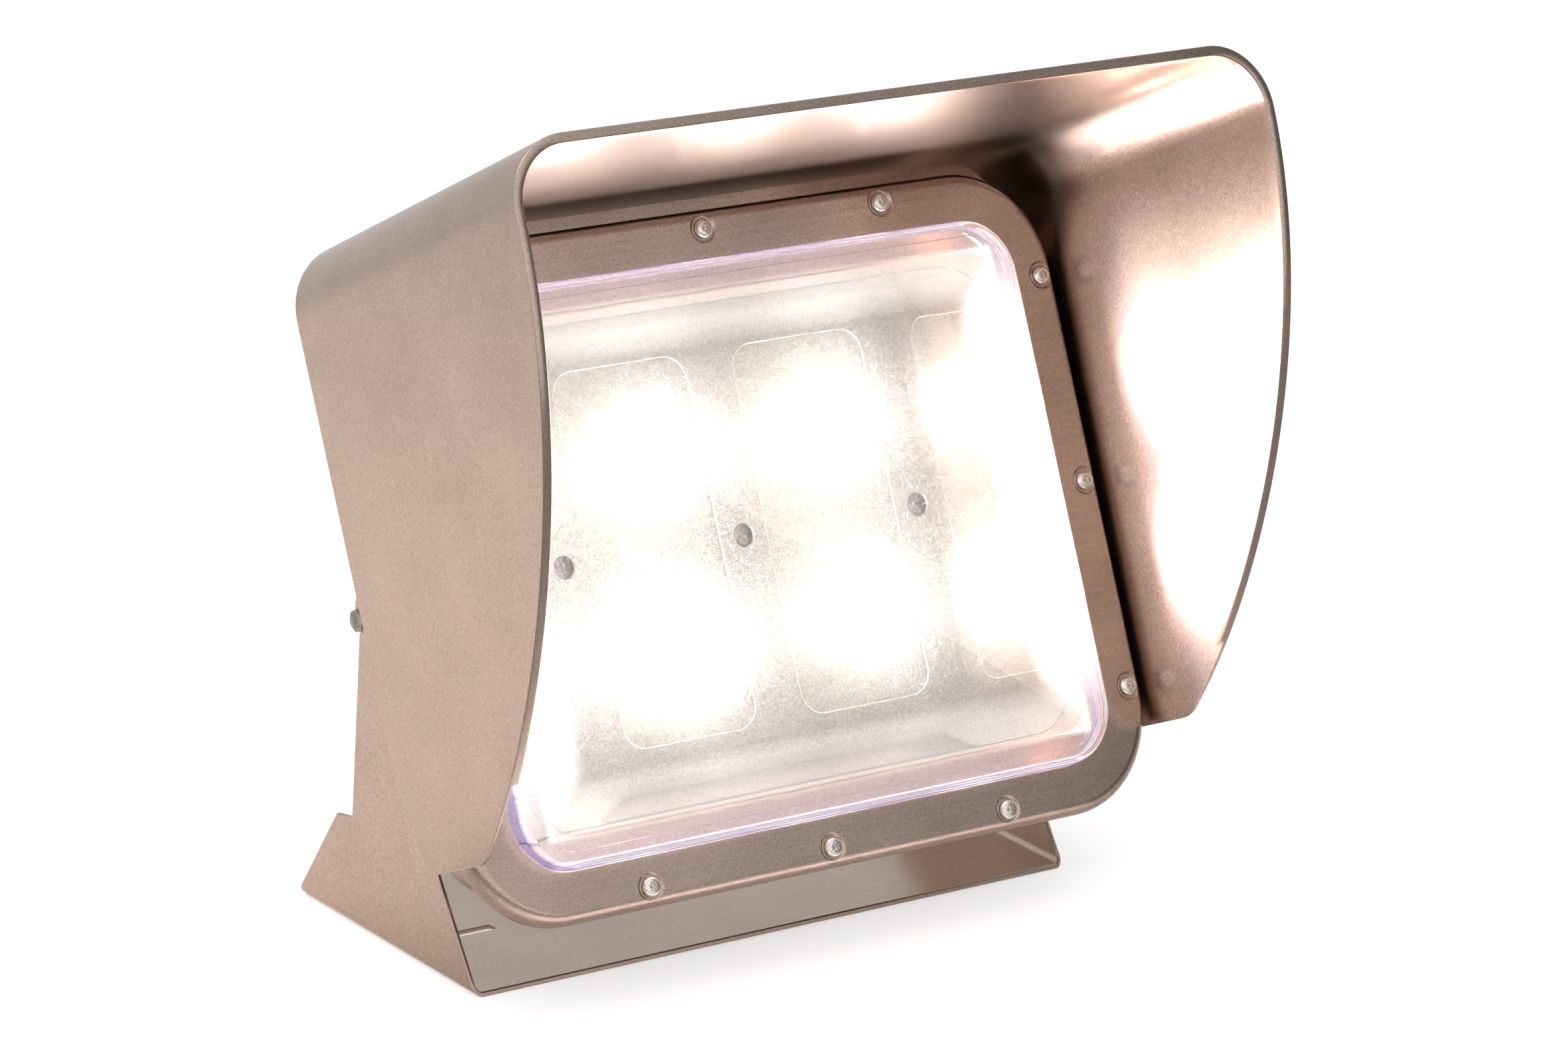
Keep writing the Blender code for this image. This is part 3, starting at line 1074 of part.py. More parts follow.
satin_steel = finish("satin steel", (0.36, 0.31, 0.27), 0.42, 1.0)
blasted_metal = finish("bead-blasted steel", (0.55, 0.52, 0.49), 0.5, 1.0)
drawn_steel = finish("drawn steel", (0.34, 0.30, 0.26), 0.42, 1.0)
stainless = finish("bright stainless", (0.62, 0.60, 0.57), 0.25, 1.0)
zinc_steel = finish("zinc-plated steel", (0.55, 0.55, 0.54), 0.35, 1.0)
aluminium = finish("aluminium", (0.70, 0.70, 0.70), 0.4, 1.0)
clear_moulding = finish("clear polycarbonate", (0.92, 0.93, 0.97), 0.05, 0.0, 1.0)
rubber = finish("black rubber", (0.03, 0.03, 0.03), 0.8)
board_metal = finish("dimpled board face", (0.62, 0.60, 0.57), 0.45, 0.9)
led_white = finish("phosphor and clear dome", (0.95, 0.92, 0.80), 0.2)
driver_case = finish("driver case", (0.75, 0.75, 0.75), 0.5, 0.8)
nylon = finish("black nylon", (0.04, 0.04, 0.045), 0.5)

head_axis = bpy.data.objects.new("head_axis", None)
pieces.objects.link(head_axis)
head_axis.location = (0.0, PIVOT_BEHIND_CENTRE, PIVOT_HEIGHT)
head_axis.rotation_euler = (pi / 2 - radians(HEAD_TILT_DEGREES), 0.0, 0.0)

make_bracket()
make_pivots()
make_housing()
make_rear_cover()
make_driver()
make_gland_and_vent()
make_led_plate()
make_boards_and_emitters()
make_lens_gasket()
make_lens()
make_bezel()
make_bezel_screws()
make_hood()
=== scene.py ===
"""Looks of the LED wall pack light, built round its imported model. Metres, +Z is up."""
from math import atan2, cos, hypot, pi, radians, sin, tan
import bpy
import bmesh
from mathutils import Matrix, Vector, noise


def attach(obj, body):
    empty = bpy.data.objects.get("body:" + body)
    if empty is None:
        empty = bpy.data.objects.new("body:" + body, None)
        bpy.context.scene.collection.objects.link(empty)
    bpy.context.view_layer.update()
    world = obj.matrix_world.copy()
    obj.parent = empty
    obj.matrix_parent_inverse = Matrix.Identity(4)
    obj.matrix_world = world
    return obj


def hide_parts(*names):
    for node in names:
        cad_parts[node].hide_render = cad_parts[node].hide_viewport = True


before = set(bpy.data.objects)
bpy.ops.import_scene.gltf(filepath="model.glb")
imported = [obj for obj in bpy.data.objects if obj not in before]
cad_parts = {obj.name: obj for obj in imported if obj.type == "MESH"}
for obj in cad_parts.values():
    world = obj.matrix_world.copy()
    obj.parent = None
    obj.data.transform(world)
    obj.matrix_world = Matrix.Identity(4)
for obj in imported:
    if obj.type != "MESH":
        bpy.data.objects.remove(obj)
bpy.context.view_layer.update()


# Mounting bracket: one 2 mm stainless steel sheet, laser cut and folded into a channel. Its
# floor is screwed to the wall through four slots, and its sides are the arms that carry the
# head between their round eyes.
BRACKET_WIDTH = 0.352
BRACKET_DEPTH = 0.150
BRACKET_SHEET = 0.002
BRACKET_BEND = 0.005
ARM_EYE_RADIUS = 0.009
ARM_EDGE_BEHIND_PIVOT = 0.005
ARM_KNEE = (0.036, 0.050)
ARM_KNEE_RADIUS = 0.120
ARM_STEP = (0.013, 0.054)
ARM_STEP_DROP = 0.0025
ARM_STEP_RADIUS = 0.002
ARM_HEEL_RADIUS = 0.008
UNTRIMMED_ARM = 0.2
SLOT_SIZE = (0.040, 0.0055)
SLOT_ACROSS = 0.140
SLOT_ROWS = (-0.0083, 0.052)
PIVOT = Vector((0.0, 0.0282, 0.1545))
PIVOT_BOLT_RADIUS = 0.003
GAP = 0.0003
LEVEL = Matrix.Identity(4)
SIDE_VIEW = Matrix(((0, 0, 1, 0), (1, 0, 0, 0), (0, 1, 0, 0), (0, 0, 0, 1)))
PLAN_VIEW = Matrix.Rotation(pi / 2, 4, "X")


def linear(colour):
    """An sRGB colour written as six hex digits, as linear red, green, blue and alpha."""
    parts = [int(colour[start:start + 2], 16) / 255 for start in (0, 2, 4)]
    return [p / 12.92 if p <= 0.04045 else ((p + 0.055) / 1.055) ** 2.4 for p in parts] + [1.0]


def feed(tree, node, inputs):
    """Give each input its value, the output that feeds it, or the node whose first output does."""
    for name, value in inputs.items():
        if isinstance(value, bpy.types.Node):
            value = value.outputs[0]
        if isinstance(value, bpy.types.NodeSocket):
            tree.links.new(value, node.inputs[name])
        else:
            node.inputs[name].default_value = value


def add_node(tree, kind, inputs, ramp=(), **settings):
    """Add a node with its settings and a ramp's positions and colours, and feed its inputs."""
    node = tree.nodes.new("ShaderNode" + kind)
    for name, value in settings.items():
        setattr(node, name, value)
    for index, (position, colour) in enumerate(ramp):
        node.color_ramp.elements[index].position = position
        node.color_ramp.elements[index].color = linear(colour)
    feed(tree, node, inputs)
    return node


def new_material(name, **values):
    """A material, its nodes and shader, and the place on its surface that its patterns follow.

    values are those of the shader that are the same all over the surface.
    """
    material = bpy.data.materials.new(name)
    material.use_nodes = True
    tree = material.node_tree
    shader = tree.nodes["Principled BSDF"]
    feed(tree, shader, {words.replace("_", " "): value for words, value in values.items()})
    place = add_node(tree, "TexCoord", {}).outputs["Object"]
    return material, tree, shader, place


def grained_metal(name, dark, light, grain, relief, roughness, spread=0.08, lines=None, metallic=1.0):
    """Blasted, rolled or plated metal: a fine grain in tone, gloss and height.

    grain is the size of a grain in metres and relief its height. lines are the lengths in
    metres along x, y and z of rolling or handling marks, where the surface has them.
    """
    material, tree, shader, place = new_material(name, Metallic=metallic)
    grit = add_node(tree, "TexNoise", {"Vector": place, "Scale": 1 / grain, "Detail": 2.0,
                                       "Roughness": 0.6})
    cloud = add_node(tree, "TexNoise", {"Vector": place, "Scale": 1 / (60 * grain), "Detail": 3.0})
    tone = add_node(tree, "Mix", {0: 0.3, 2: grit, 3: cloud})
    if lines:
        run = add_node(tree, "Mapping", {"Vector": place, "Scale": [1 / length for length in lines]})
        marks = add_node(tree, "TexNoise", {"Vector": run, "Scale": 1.0, "Detail": 3.0})
        tone = add_node(tree, "Mix", {0: 0.15, 2: tone, 3: marks})
    colour = add_node(tree, "ValToRGB", {"Fac": tone}, ramp=((0.36, dark), (0.64, light)))
    gloss = add_node(tree, "MapRange", {"Value": tone, "From Min": 0.3, "From Max": 0.7,
                                        "To Min": roughness - spread, "To Max": roughness + spread})
    bump = add_node(tree, "Bump", {"Height": grit, "Distance": relief, "Strength": 1.0})
    feed(tree, shader, {"Base Color": colour, "Roughness": gloss, "Normal": bump})
    return material


# Stainless steel sheet, bead blasted to a satin face: a warm grey with an even fine speckle,
# which mirrors bright things as soft-edged patches. The real grit is about 0.2 mm, too fine
# for the picture, so the grain is drawn at 0.9 mm.
satin_steel = grained_metal("Bead-blasted stainless sheet", "A69488", "C6B2A4", grain=0.0009,
                            relief=0.000004, roughness=0.225, spread=0.02, lines=(0.15, 0.002, 0.002))


def rounded_outline(corners, steps=12):
    """Outline through corners given as (x, y, radius), each rounded by an arc."""
    points = []
    for index, (x, y, radius) in enumerate(corners):
        corner = Vector((x, y))
        if radius == 0:
            points.append(corner)
            continue
        before = (Vector(corners[index - 1][:2]) - corner).normalized()
        after = (Vector(corners[(index + 1) % len(corners)][:2]) - corner).normalized()
        half_angle = before.angle(after) / 2
        centre = corner + (before + after).normalized() * radius / sin(half_angle)
        reach = radius / tan(half_angle)
        start = corner + before * reach - centre
        end = corner + after * reach - centre
        first = atan2(start.y, start.x)
        sweep = (atan2(end.y, end.x) - first + pi) % (2 * pi) - pi
        for step in range(steps + 1):
            angle = first + sweep * step / steps
            points.append(centre + radius * Vector((cos(angle), sin(angle))))
    followed = zip(points, points[1:] + points[:1])
    return [point for point, following in followed if (following - point).length > 1e-6]


def rounded_rectangle(width, height, radius, centre=(0.0, 0.0)):
    """Outline of a rectangle with rounded corners."""
    x, y = centre
    corners = [(width / 2, height / 2), (-width / 2, height / 2)]
    corners += [(-width / 2, -height / 2), (width / 2, -height / 2)]
    return rounded_outline([(x + a, y + b, radius) for a, b in corners])


def circle(radius, centre=(0.0, 0.0), steps=48):
    """Points of a circle."""
    angles = [2 * pi * step / steps for step in range(steps)]
    return [Vector((centre[0] + radius * cos(a), centre[1] + radius * sin(a))) for a in angles]


def new_mesh(name, shape):
    """Turn a bmesh into a mesh whose faces point out."""
    bmesh.ops.remove_doubles(shape, verts=shape.verts, dist=1e-6)
    bmesh.ops.recalc_face_normals(shape, faces=shape.faces)
    if shape.calc_volume(signed=True) < 0:
        bmesh.ops.reverse_faces(shape, faces=shape.faces)
    mesh = bpy.data.meshes.new(name)
    shape.to_mesh(mesh)
    shape.free()
    return mesh


def new_object(name, data):
    """An object of the scene for a mesh, a curve, a lamp or a camera."""
    made = bpy.data.objects.new(name, data)
    bpy.context.scene.collection.objects.link(made)
    return made


def made_mesh(thing):
    """The mesh that a curve or a piece comes to with its modifiers."""
    bpy.context.view_layer.update()
    return bpy.data.meshes.new_from_object(thing.evaluated_get(bpy.context.evaluated_depsgraph_get()))


def plate(name, outlines, thickness, turn=LEVEL):
    """Mesh of a flat sheet about its middle, with an outline and holes, from a filled curve."""
    curve = bpy.data.curves.new(name, "CURVE")
    curve.dimensions = "2D"
    curve.fill_mode = "BOTH"
    curve.extrude = thickness / 2
    for outline in outlines:
        spline = curve.splines.new("POLY")
        spline.points.add(len(outline) - 1)
        for point, (x, y) in zip(spline.points, outline):
            point.co = (x, y, 0.0, 1.0)
        spline.use_cyclic_u = True
    guide = new_object(name, curve)
    flat = made_mesh(guide)
    bpy.data.objects.remove(guide, do_unlink=True)
    shape = bmesh.new()
    shape.from_mesh(flat)
    shape.transform(turn)
    return new_mesh(name, shape)


def dress(mesh, material, smooth=32.0):
    """Give a mesh its material, and shade it smooth where its faces meet gently."""
    mesh.materials.clear()
    mesh.materials.append(material)
    mesh.shade_smooth()
    mesh.set_sharp_from_angle(angle=radians(smooth))


def add_piece(name, mesh, material, place=LEVEL, smooth=32.0):
    """A piece of the scene, in its place and with its material."""
    piece = new_object(name, mesh)
    piece.matrix_world = place
    dress(mesh, material, smooth)
    return piece


def cut(piece, mesh, place=None, operation="DIFFERENCE"):
    """Cut, trim or join a piece with another mesh, and keep the result as its own mesh."""
    tool = new_object("tool", mesh)
    tool.matrix_world = piece.matrix_world if place is None else place
    boolean = piece.modifiers.new("Cut", "BOOLEAN")
    boolean.operation = operation
    boolean.solver = "EXACT"
    boolean.object = tool
    material = piece.data.materials[0]
    made = made_mesh(piece)
    piece.modifiers.clear()
    piece.data = made
    dress(made, material)
    bpy.data.objects.remove(tool, do_unlink=True)


def stand_for(piece, node, body="head"):
    """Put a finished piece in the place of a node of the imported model, to move with a body.

    The place is written into the piece's mesh, so that its object sits at the origin.
    """
    piece.data = piece.data.copy()
    piece.data.transform(piece.matrix_world)
    piece.matrix_world = LEVEL
    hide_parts(node)
    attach(piece, body)


def lifted(height):
    """A place straight up or down from the origin."""
    return Matrix.Translation((0.0, 0.0, height))


def ease_edges(piece, width, segments=2, angle=40.0):
    """Break a piece's sharp edges, and keep its flat faces flat to the eye."""
    bevel = piece.modifiers.new("Broken edges", "BEVEL")
    bevel.width = width
    bevel.segments = segments
    bevel.limit_method = "ANGLE"
    bevel.angle_limit = radians(angle)
    bevel.use_clamp_overlap = False
    weighted = piece.modifiers.new("Flat faces", "WEIGHTED_NORMAL")
    weighted.keep_sharp = True


def arm_outline():
    """Side view of an arm as (y, z), from the front lip over the eye to the rear foot."""
    front = -BRACKET_DEPTH / 2
    below = -BRACKET_SHEET
    knee = Vector((front + ARM_KNEE[0], ARM_KNEE[1]))
    slope = ARM_KNEE[0] / ARM_KNEE[1]
    eye = Vector((PIVOT.y, PIVOT.z))
    to_eye = eye - knee
    tangent = atan2(to_eye.y, to_eye.x) + pi / 2 + atan2(ARM_EYE_RADIUS, to_eye.length)
    last = -atan2((ARM_EYE_RADIUS**2 - ARM_EDGE_BEHIND_PIVOT**2) ** 0.5, ARM_EDGE_BEHIND_PIVOT)
    start = eye + ARM_EYE_RADIUS * Vector((cos(tangent), sin(tangent)))
    edge = PIVOT.y + ARM_EDGE_BEHIND_PIVOT
    step_back, step_height = ARM_STEP
    corners = [(front + slope * below, below, 0.0), (knee.x, knee.y, ARM_KNEE_RADIUS)]
    corners += [(start.x, start.y, 0.0), (front, PIVOT.z, 0.0)]
    points = rounded_outline(corners, 20)[:-1]
    for step in range(1, 33):
        angle = tangent + (last - tangent) * step / 32
        points.append(eye + ARM_EYE_RADIUS * Vector((cos(angle), sin(angle))))
    foot = [(edge, PIVOT.z, 0.0), (edge, step_height, ARM_STEP_RADIUS)]
    foot += [(edge + step_back, step_height - ARM_STEP_DROP, ARM_STEP_RADIUS)]
    foot += [(BRACKET_DEPTH / 2, 2 * BRACKET_SHEET, ARM_HEEL_RADIUS), (BRACKET_DEPTH / 2, below, 0.0)]
    return points + rounded_outline(foot, 8)[1:]


half = BRACKET_WIDTH / 2
inner = half - BRACKET_SHEET
inner_bend = BRACKET_BEND - BRACKET_SHEET
corners = [(-half, UNTRIMMED_ARM, 0.0), (-half, 0.0, BRACKET_BEND)]
corners += [(half, 0.0, BRACKET_BEND), (half, UNTRIMMED_ARM, 0.0)]
corners += [(inner, UNTRIMMED_ARM, 0.0), (inner, BRACKET_SHEET, inner_bend)]
corners += [(-inner, BRACKET_SHEET, inner_bend), (-inner, UNTRIMMED_ARM, 0.0)]
channel = plate("channel", [rounded_outline(corners)], 2 * BRACKET_DEPTH, PLAN_VIEW)
bracket = add_piece("Bracket", channel, satin_steel)
cut(bracket, plate("arms", [arm_outline()], 2 * BRACKET_WIDTH, SIDE_VIEW), operation="INTERSECT")
for row in SLOT_ROWS:
    for side in (-1, 1):
        outline = rounded_rectangle(*SLOT_SIZE, SLOT_SIZE[1] / 2, (side * SLOT_ACROSS, row))
        cut(bracket, plate("slot", [outline], 0.02))
bolt_hole = [circle(PIVOT_BOLT_RADIUS + GAP, PIVOT.yz)]
cut(bracket, plate("bolt hole", bolt_hole, 2 * BRACKET_WIDTH, SIDE_VIEW))
ease_edges(bracket, 0.0005)
stand_for(bracket, "mounting_bracket", "bracket")


# Pivot hardware: an M6 hexagon bolt goes through a washer, the arm and the head's ear on each
# side, into a lock nut with a nylon ring. Zinc-plated steel, drawn tight enough to hold the
# head by friction.
HEX_ACROSS_FLATS = 0.010
BOLT_HEAD_HEIGHT = 0.004
WASHER_RADIUS = 0.007
WASHER_THICKNESS = 0.0012
WASHER_EDGE = 0.0002
NUT_HEIGHT = 0.006
BOLT_BEYOND_NUT = 0.0015
BOLT_POINT = 0.0005
EAR_SHEET = 0.003

# Zinc plate with a clear passivate: a plain grey, slightly cloudy, with a soft gloss.
zinc_plate = grained_metal("Zinc-plated steel", "8B8781", "A39E96", grain=0.0007, relief=0.000006,
                           roughness=0.34)


def turned(name, profile, steps=48):
    """Mesh turned about Z from (radius, height) points, from axis to axis or round a bore."""
    shape = bmesh.new()
    rows = []
    for radius, height in profile:
        if radius == 0:
            rows.append([shape.verts.new((0.0, 0.0, height))])
        else:
            rows.append([shape.verts.new((p.x, p.y, height)) for p in circle(radius, steps=steps)])
    pairs = list(zip(rows, rows[1:]))
    if profile[0][0] > 0:
        pairs.append((rows[-1], rows[0]))
    for high, low in pairs:
        for index in range(steps):
            corners = (high[index % len(high)], high[(index + 1) % steps % len(high)],
                       low[(index + 1) % steps % len(low)], low[index % len(low)])
            shape.faces.new(list(dict.fromkeys(corners)))
    return new_mesh(name, shape)


def hexagonal(name, across_flats, height, bore=0.0, chamfer=0.12):
    """A hexagonal head or nut along Z from 0 to its height, with its corners turned off on top."""
    radius = across_flats / 2
    corner = radius / cos(pi / 6)
    outlines = [circle(corner, steps=6)]
    if bore:
        outlines.append(circle(bore))
    prism = plate(name, outlines, height, lifted(height / 2))
    cone = [(0.0, height), (radius * 0.97, height), (corner, height * (1 - chamfer))]
    cone += [(corner, 0.0), (0.0, 0.0)]
    return prism, turned("corner cone", cone)


for side, word in ((-1, "left"), (1, "right")):
    outward = Matrix.Translation(PIVOT) @ Matrix.Rotation(side * pi / 2, 4, "Y")
    seat = half + GAP
    bore = PIVOT_BOLT_RADIUS + GAP
    ring = [(bore, WASHER_THICKNESS), (WASHER_RADIUS - WASHER_EDGE, WASHER_THICKNESS)]
    ring += [(WASHER_RADIUS, WASHER_THICKNESS - WASHER_EDGE), (WASHER_RADIUS, 0.0), (bore, 0.0)]
    washer = add_piece(f"Washer_{word}", turned("washer", ring), zinc_plate, outward @ lifted(seat))
    head = outward @ lifted(seat + WASHER_THICKNESS + GAP)
    prism, cone = hexagonal("bolt head", HEX_ACROSS_FLATS, BOLT_HEAD_HEIGHT)
    bolt = add_piece(f"Bolt_{word}", prism, zinc_plate, head)
    cut(bolt, cone, operation="INTERSECT")
    nut_outside = inner - GAP - EAR_SHEET - GAP
    reach = seat + WASHER_THICKNESS + GAP - nut_outside + NUT_HEIGHT + BOLT_BEYOND_NUT
    shank = [(0.0, 0.001), (PIVOT_BOLT_RADIUS, 0.001), (PIVOT_BOLT_RADIUS, BOLT_POINT - reach)]
    shank += [(PIVOT_BOLT_RADIUS - BOLT_POINT, -reach), (0.0, -reach)]
    cut(bolt, turned("shank", shank), operation="UNION")
    back = outward @ lifted(nut_outside) @ Matrix.Rotation(pi, 4, "X")
    prism, cone = hexagonal("lock nut", HEX_ACROSS_FLATS, NUT_HEIGHT, bore, 0.3)
    nut = add_piece(f"Lock_nut_{word}", prism, zinc_plate, back)
    cut(nut, cone, operation="INTERSECT")
    for piece, node in ((washer, "pivot_washer"), (bolt, "pivot_bolt"), (nut, "lock_nut")):
        stand_for(piece, f"{node}_{word}", "bracket")


# Pivot ears: two angles of 3 mm stainless sheet, folded, on the back of the housing. The pivot
# bolts pass through their round ends.
HEAD_TILT = 25.5
FACE_AHEAD_OF_PIVOT = 0.083994
SECOND_STEP_DEPTH = 0.045494
EAR_HEIGHT = 0.044
EAR_EYE_RADIUS = 0.012
EAR_FOOT = 0.153
EAR_BEND = 0.0045
EAR_SHOULDER = (0.006, 0.004)
HEAD_FRAME = Matrix.Translation(PIVOT) @ Matrix.Rotation(pi / 2 - radians(HEAD_TILT), 4, "X")


def in_head(x=0.0, y=0.0, z=0.0):
    """A place in the head: x across, y up along the bezel, z out from the bezel's front face."""
    return HEAD_FRAME @ Matrix.Translation((x, y, FACE_AHEAD_OF_PIVOT + z))


for side, word in ((-1, "left"), (1, "right")):
    back = SECOND_STEP_DEPTH + GAP
    tip = FACE_AHEAD_OF_PIVOT + EAR_EYE_RADIUS
    outside = inner - GAP
    inside = outside - EAR_SHEET
    under = -back - EAR_SHEET
    angle = [(outside, -back, EAR_BEND), (outside, -tip - GAP, 0.0), (inside, -tip - GAP, 0.0)]
    angle += [(inside, under, EAR_BEND - EAR_SHEET), (EAR_FOOT, under, 0.0), (EAR_FOOT, -back, 0.0)]
    corners = [(side * x, y, radius) for x, y, radius in angle]
    mesh = plate("ear", [rounded_outline(corners)], EAR_HEIGHT, PLAN_VIEW)
    ear = add_piece(f"Ear_{word}", mesh, satin_steel, in_head())
    wide = EAR_HEIGHT / 2 + GAP
    shoulder, rounding = EAR_SHOULDER
    shape = [(back - GAP, wide, 0.0), (back - GAP, -wide, 0.0), (back + shoulder, -wide, rounding)]
    shape += [(tip, -EAR_EYE_RADIUS, EAR_EYE_RADIUS), (tip, EAR_EYE_RADIUS, EAR_EYE_RADIUS)]
    shape += [(back + shoulder, wide, rounding)]
    trim = plate("ear outline", [rounded_outline(shape)], 0.8, Matrix.Rotation(pi / 2, 4, "Y"))
    cut(ear, trim, operation="INTERSECT")
    hole = plate("ear hole", [circle(PIVOT_BOLT_RADIUS + GAP)], 0.8)
    cut(ear, hole, HEAD_FRAME @ Matrix.Rotation(pi / 2, 4, "Y"))
    ease_edges(ear, 0.0003)
    stand_for(ear, f"pivot_ear_{word}")


# Lamp housing: a pan deep drawn from 2 mm stainless sheet in three steps, the last a box for
# the driver. Its rim fits inside the bezel's skirt and holds the lens flange in a rebate.
BEZEL = (0.407, 0.3186, 0.052)
BEZEL_SHEET = 0.002
BEZEL_ROLL = 0.007
SHEET = 0.002
DRAFT = 0.001
FIRST_STEP = (0.4006, 0.282, 0.044)
SECOND_STEP = (0.376, 0.242, 0.034)
BOX = (0.300, 0.212, 0.020)
FIRST_STEP_DEPTH = 0.035894
BOX_DEPTH = 0.073994
BOX_LEDGE = 0.0125
REBATE_INSET = 0.0132
REBATE_DEPTH = 0.008
FLANGE_INSET = 0.0142
LIP_INSET = 0.021
LIP_THICKNESS = 0.004
PRESSED_ROUNDING = 0.004
HOLLOW_ROUNDING = 0.003
BENT_ROUNDING = 0.002
ARC_STEPS = 14


def inset(size, amount, depth, rounding=0.0):
    """A section drawn in all round from a rounded rectangle given as (width, height, corner)."""
    width, height, corner = size
    return (width - 2 * amount, height - 2 * amount, corner - amount, depth, rounding)


def along(start, end, distance):
    """The point at a distance from start towards end, measured in half width and depth."""
    step = end - start
    return start + step * distance / hypot(step[0] / 2, step[3])


def soften(rows, steps):
    """A closed run of (width, height, corner, depth) through rows for inset, its corners rounded."""
    sections = [inset(*row) for row in rows]
    points = []
    for index, section in enumerate(sections):
        corner = Vector(section[:4])
        rounding = section[4]
        if rounding == 0:
            points.append(corner)
            continue
        start = along(corner, Vector(sections[index - 1][:4]), rounding)
        end = along(corner, Vector(sections[(index + 1) % len(sections)][:4]), rounding)
        centre = start + end - corner
        for step in range(steps + 1):
            angle = pi / 2 * step / steps
            points.append(centre + (start - centre) * cos(angle) + (end - centre) * sin(angle))
    return points


def ring_points(width, height, corner, side_steps):
    """Points round a rounded rectangle, whose straight sides are each cut in equal steps."""
    points = []
    middles = [(width / 2 - corner, height / 2 - corner), (corner - width / 2, height / 2 - corner)]
    middles += [(corner - width / 2, corner - height / 2), (width / 2 - corner, corner - height / 2)]
    for index, middle in enumerate(middles):
        for step in range(ARC_STEPS + 1):
            angle = pi / 2 * (index + step / ARC_STEPS)
            points.append(Vector(middle) + corner * Vector((cos(angle), sin(angle))))
        following = Vector(middles[(index + 1) % 4])
        turn = pi / 2 * (index + 1)
        end = following + corner * Vector((cos(turn), sin(turn)))
        start = points[-1]
        points += [start.lerp(end, step / side_steps) for step in range(1, side_steps)]
    return points


def loft(name, rings, closed=True):
    """Join rings of equal length, closed on themselves or capped at both ends."""
    shape = bmesh.new()
    rows = [[shape.verts.new(point) for point in ring] for ring in rings]
    pairs = list(zip(rows, rows[1:]))
    if closed:
        pairs.append((rows[-1], rows[0]))
    else:
        shape.faces.new(rows[0])
        shape.faces.new(rows[-1])
    for low, high in pairs:
        for index in range(len(low)):
            following = (index + 1) % len(low)
            shape.faces.new((low[index], low[following], high[following], high[index]))
    return new_mesh(name, shape)


def drawn_shell(name, rows, steps, side_steps):
    """Mesh of a drawn sheet, both of whose faces are given as one closed run of rows for inset."""
    rings = []
    for width, height, corner, depth in soften(rows, steps):
        rings.append([(x, y, depth) for x, y in ring_points(width, height, corner, side_steps)])
    return loft(name, rings)


# The same stainless sheet where it was drawn over a die: a little smoother and more stretched.
drawn_steel = grained_metal("Deep-drawn stainless sheet", "9F8D81", "BDA99C", grain=0.0011,
                            relief=0.000006, roughness=0.34, spread=0.04)

rim = inset(BEZEL, BEZEL_SHEET + GAP, 0.0)[:3]
land = -BEZEL_SHEET - GAP
first, second, rear = -FIRST_STEP_DEPTH, -SECOND_STEP_DEPTH, -BOX_DEPTH
lip_back = -REBATE_DEPTH - LIP_THICKNESS
rows = (
    (rim, LIP_INSET, -REBATE_DEPTH),
    (rim, REBATE_INSET, -REBATE_DEPTH),
    (rim, REBATE_INSET, land),
    (rim, 0.0, land, BEZEL_ROLL - BEZEL_SHEET),
    (FIRST_STEP, 0.0, first, PRESSED_ROUNDING),
    (SECOND_STEP, 0.0, first, HOLLOW_ROUNDING),
    (SECOND_STEP, DRAFT, second, PRESSED_ROUNDING),
    (BOX, 0.0, second, HOLLOW_ROUNDING),
    (BOX, DRAFT, rear, HOLLOW_ROUNDING),
    (BOX, BOX_LEDGE, rear),
    (BOX, BOX_LEDGE, rear + SHEET),
    (BOX, SHEET + DRAFT, rear + SHEET),
    (BOX, SHEET, second + SHEET),
    (SECOND_STEP, SHEET + DRAFT, second + SHEET, BENT_ROUNDING),
    (SECOND_STEP, SHEET, first + SHEET),
    (FIRST_STEP, SHEET, first + SHEET),
    (rim, SHEET, lip_back),
    (rim, LIP_INSET, lip_back),
)
housing = add_piece("Housing", drawn_shell("housing", rows, 6, 4), drawn_steel, in_head())
stand_for(housing, "lamp_housing")


# Rear cover: a flat 2 mm stainless plate that closes the driver's box, on a black rubber gasket,
# held by four button-head screws through its corners.
COVER_SHEET = 0.002
COVER_GASKET = 0.0015
COVER_SCREW = (0.00375, 0.0022, 0.002, 0.009, 0.0013)


def button_head(name, radius, height, shank, length, socket):
    """A button-head screw along Z with a six-lobed socket that has a pin in its middle.

    radius and height are the head's, shank and socket are radii, and length is the shank's.
    """
    crown = radius * 0.60
    profile = [(0.0, height), (crown * 0.7, height), (crown, height * 0.985)]
    for step in range(1, 9):
        angle = pi / 2 * step / 8
        profile.append((crown + (radius - crown) * sin(angle), height * (0.2 + 0.78 * cos(angle))))
    profile += [(radius, 0.00015), (radius - 0.00015, 0.0), (shank, 0.0), (shank, 0.0003 - length)]
    profile += [(shank - 0.0003, -length), (0.0, -length)]
    screw = add_piece(name, turned(name, profile), bright_stainless)
    lobes = []
    for step in range(48):
        angle = 2 * pi * step / 48
        reach = socket * (0.88 + 0.12 * cos(6 * angle))
        lobes.append(Vector((reach * cos(angle), reach * sin(angle))))
    depth = height * 0.6
    hollow = plate("socket", [lobes, circle(socket * 0.3, steps=16)], 2 * depth, lifted(height))
    cut(screw, hollow)
    ease_edges(screw, 0.00008, 1, 50.0)
    mesh = made_mesh(screw)
    bpy.data.objects.remove(screw, do_unlink=True)
    return mesh


# Cold-headed stainless steel, polished by tumbling: nearly white highlights beside dark ones.
bright_stainless = grained_metal("Polished stainless steel", "CFC9C1", "EBE6DF", grain=0.0006,
                                 relief=0.000004, roughness=0.22, spread=0.05)


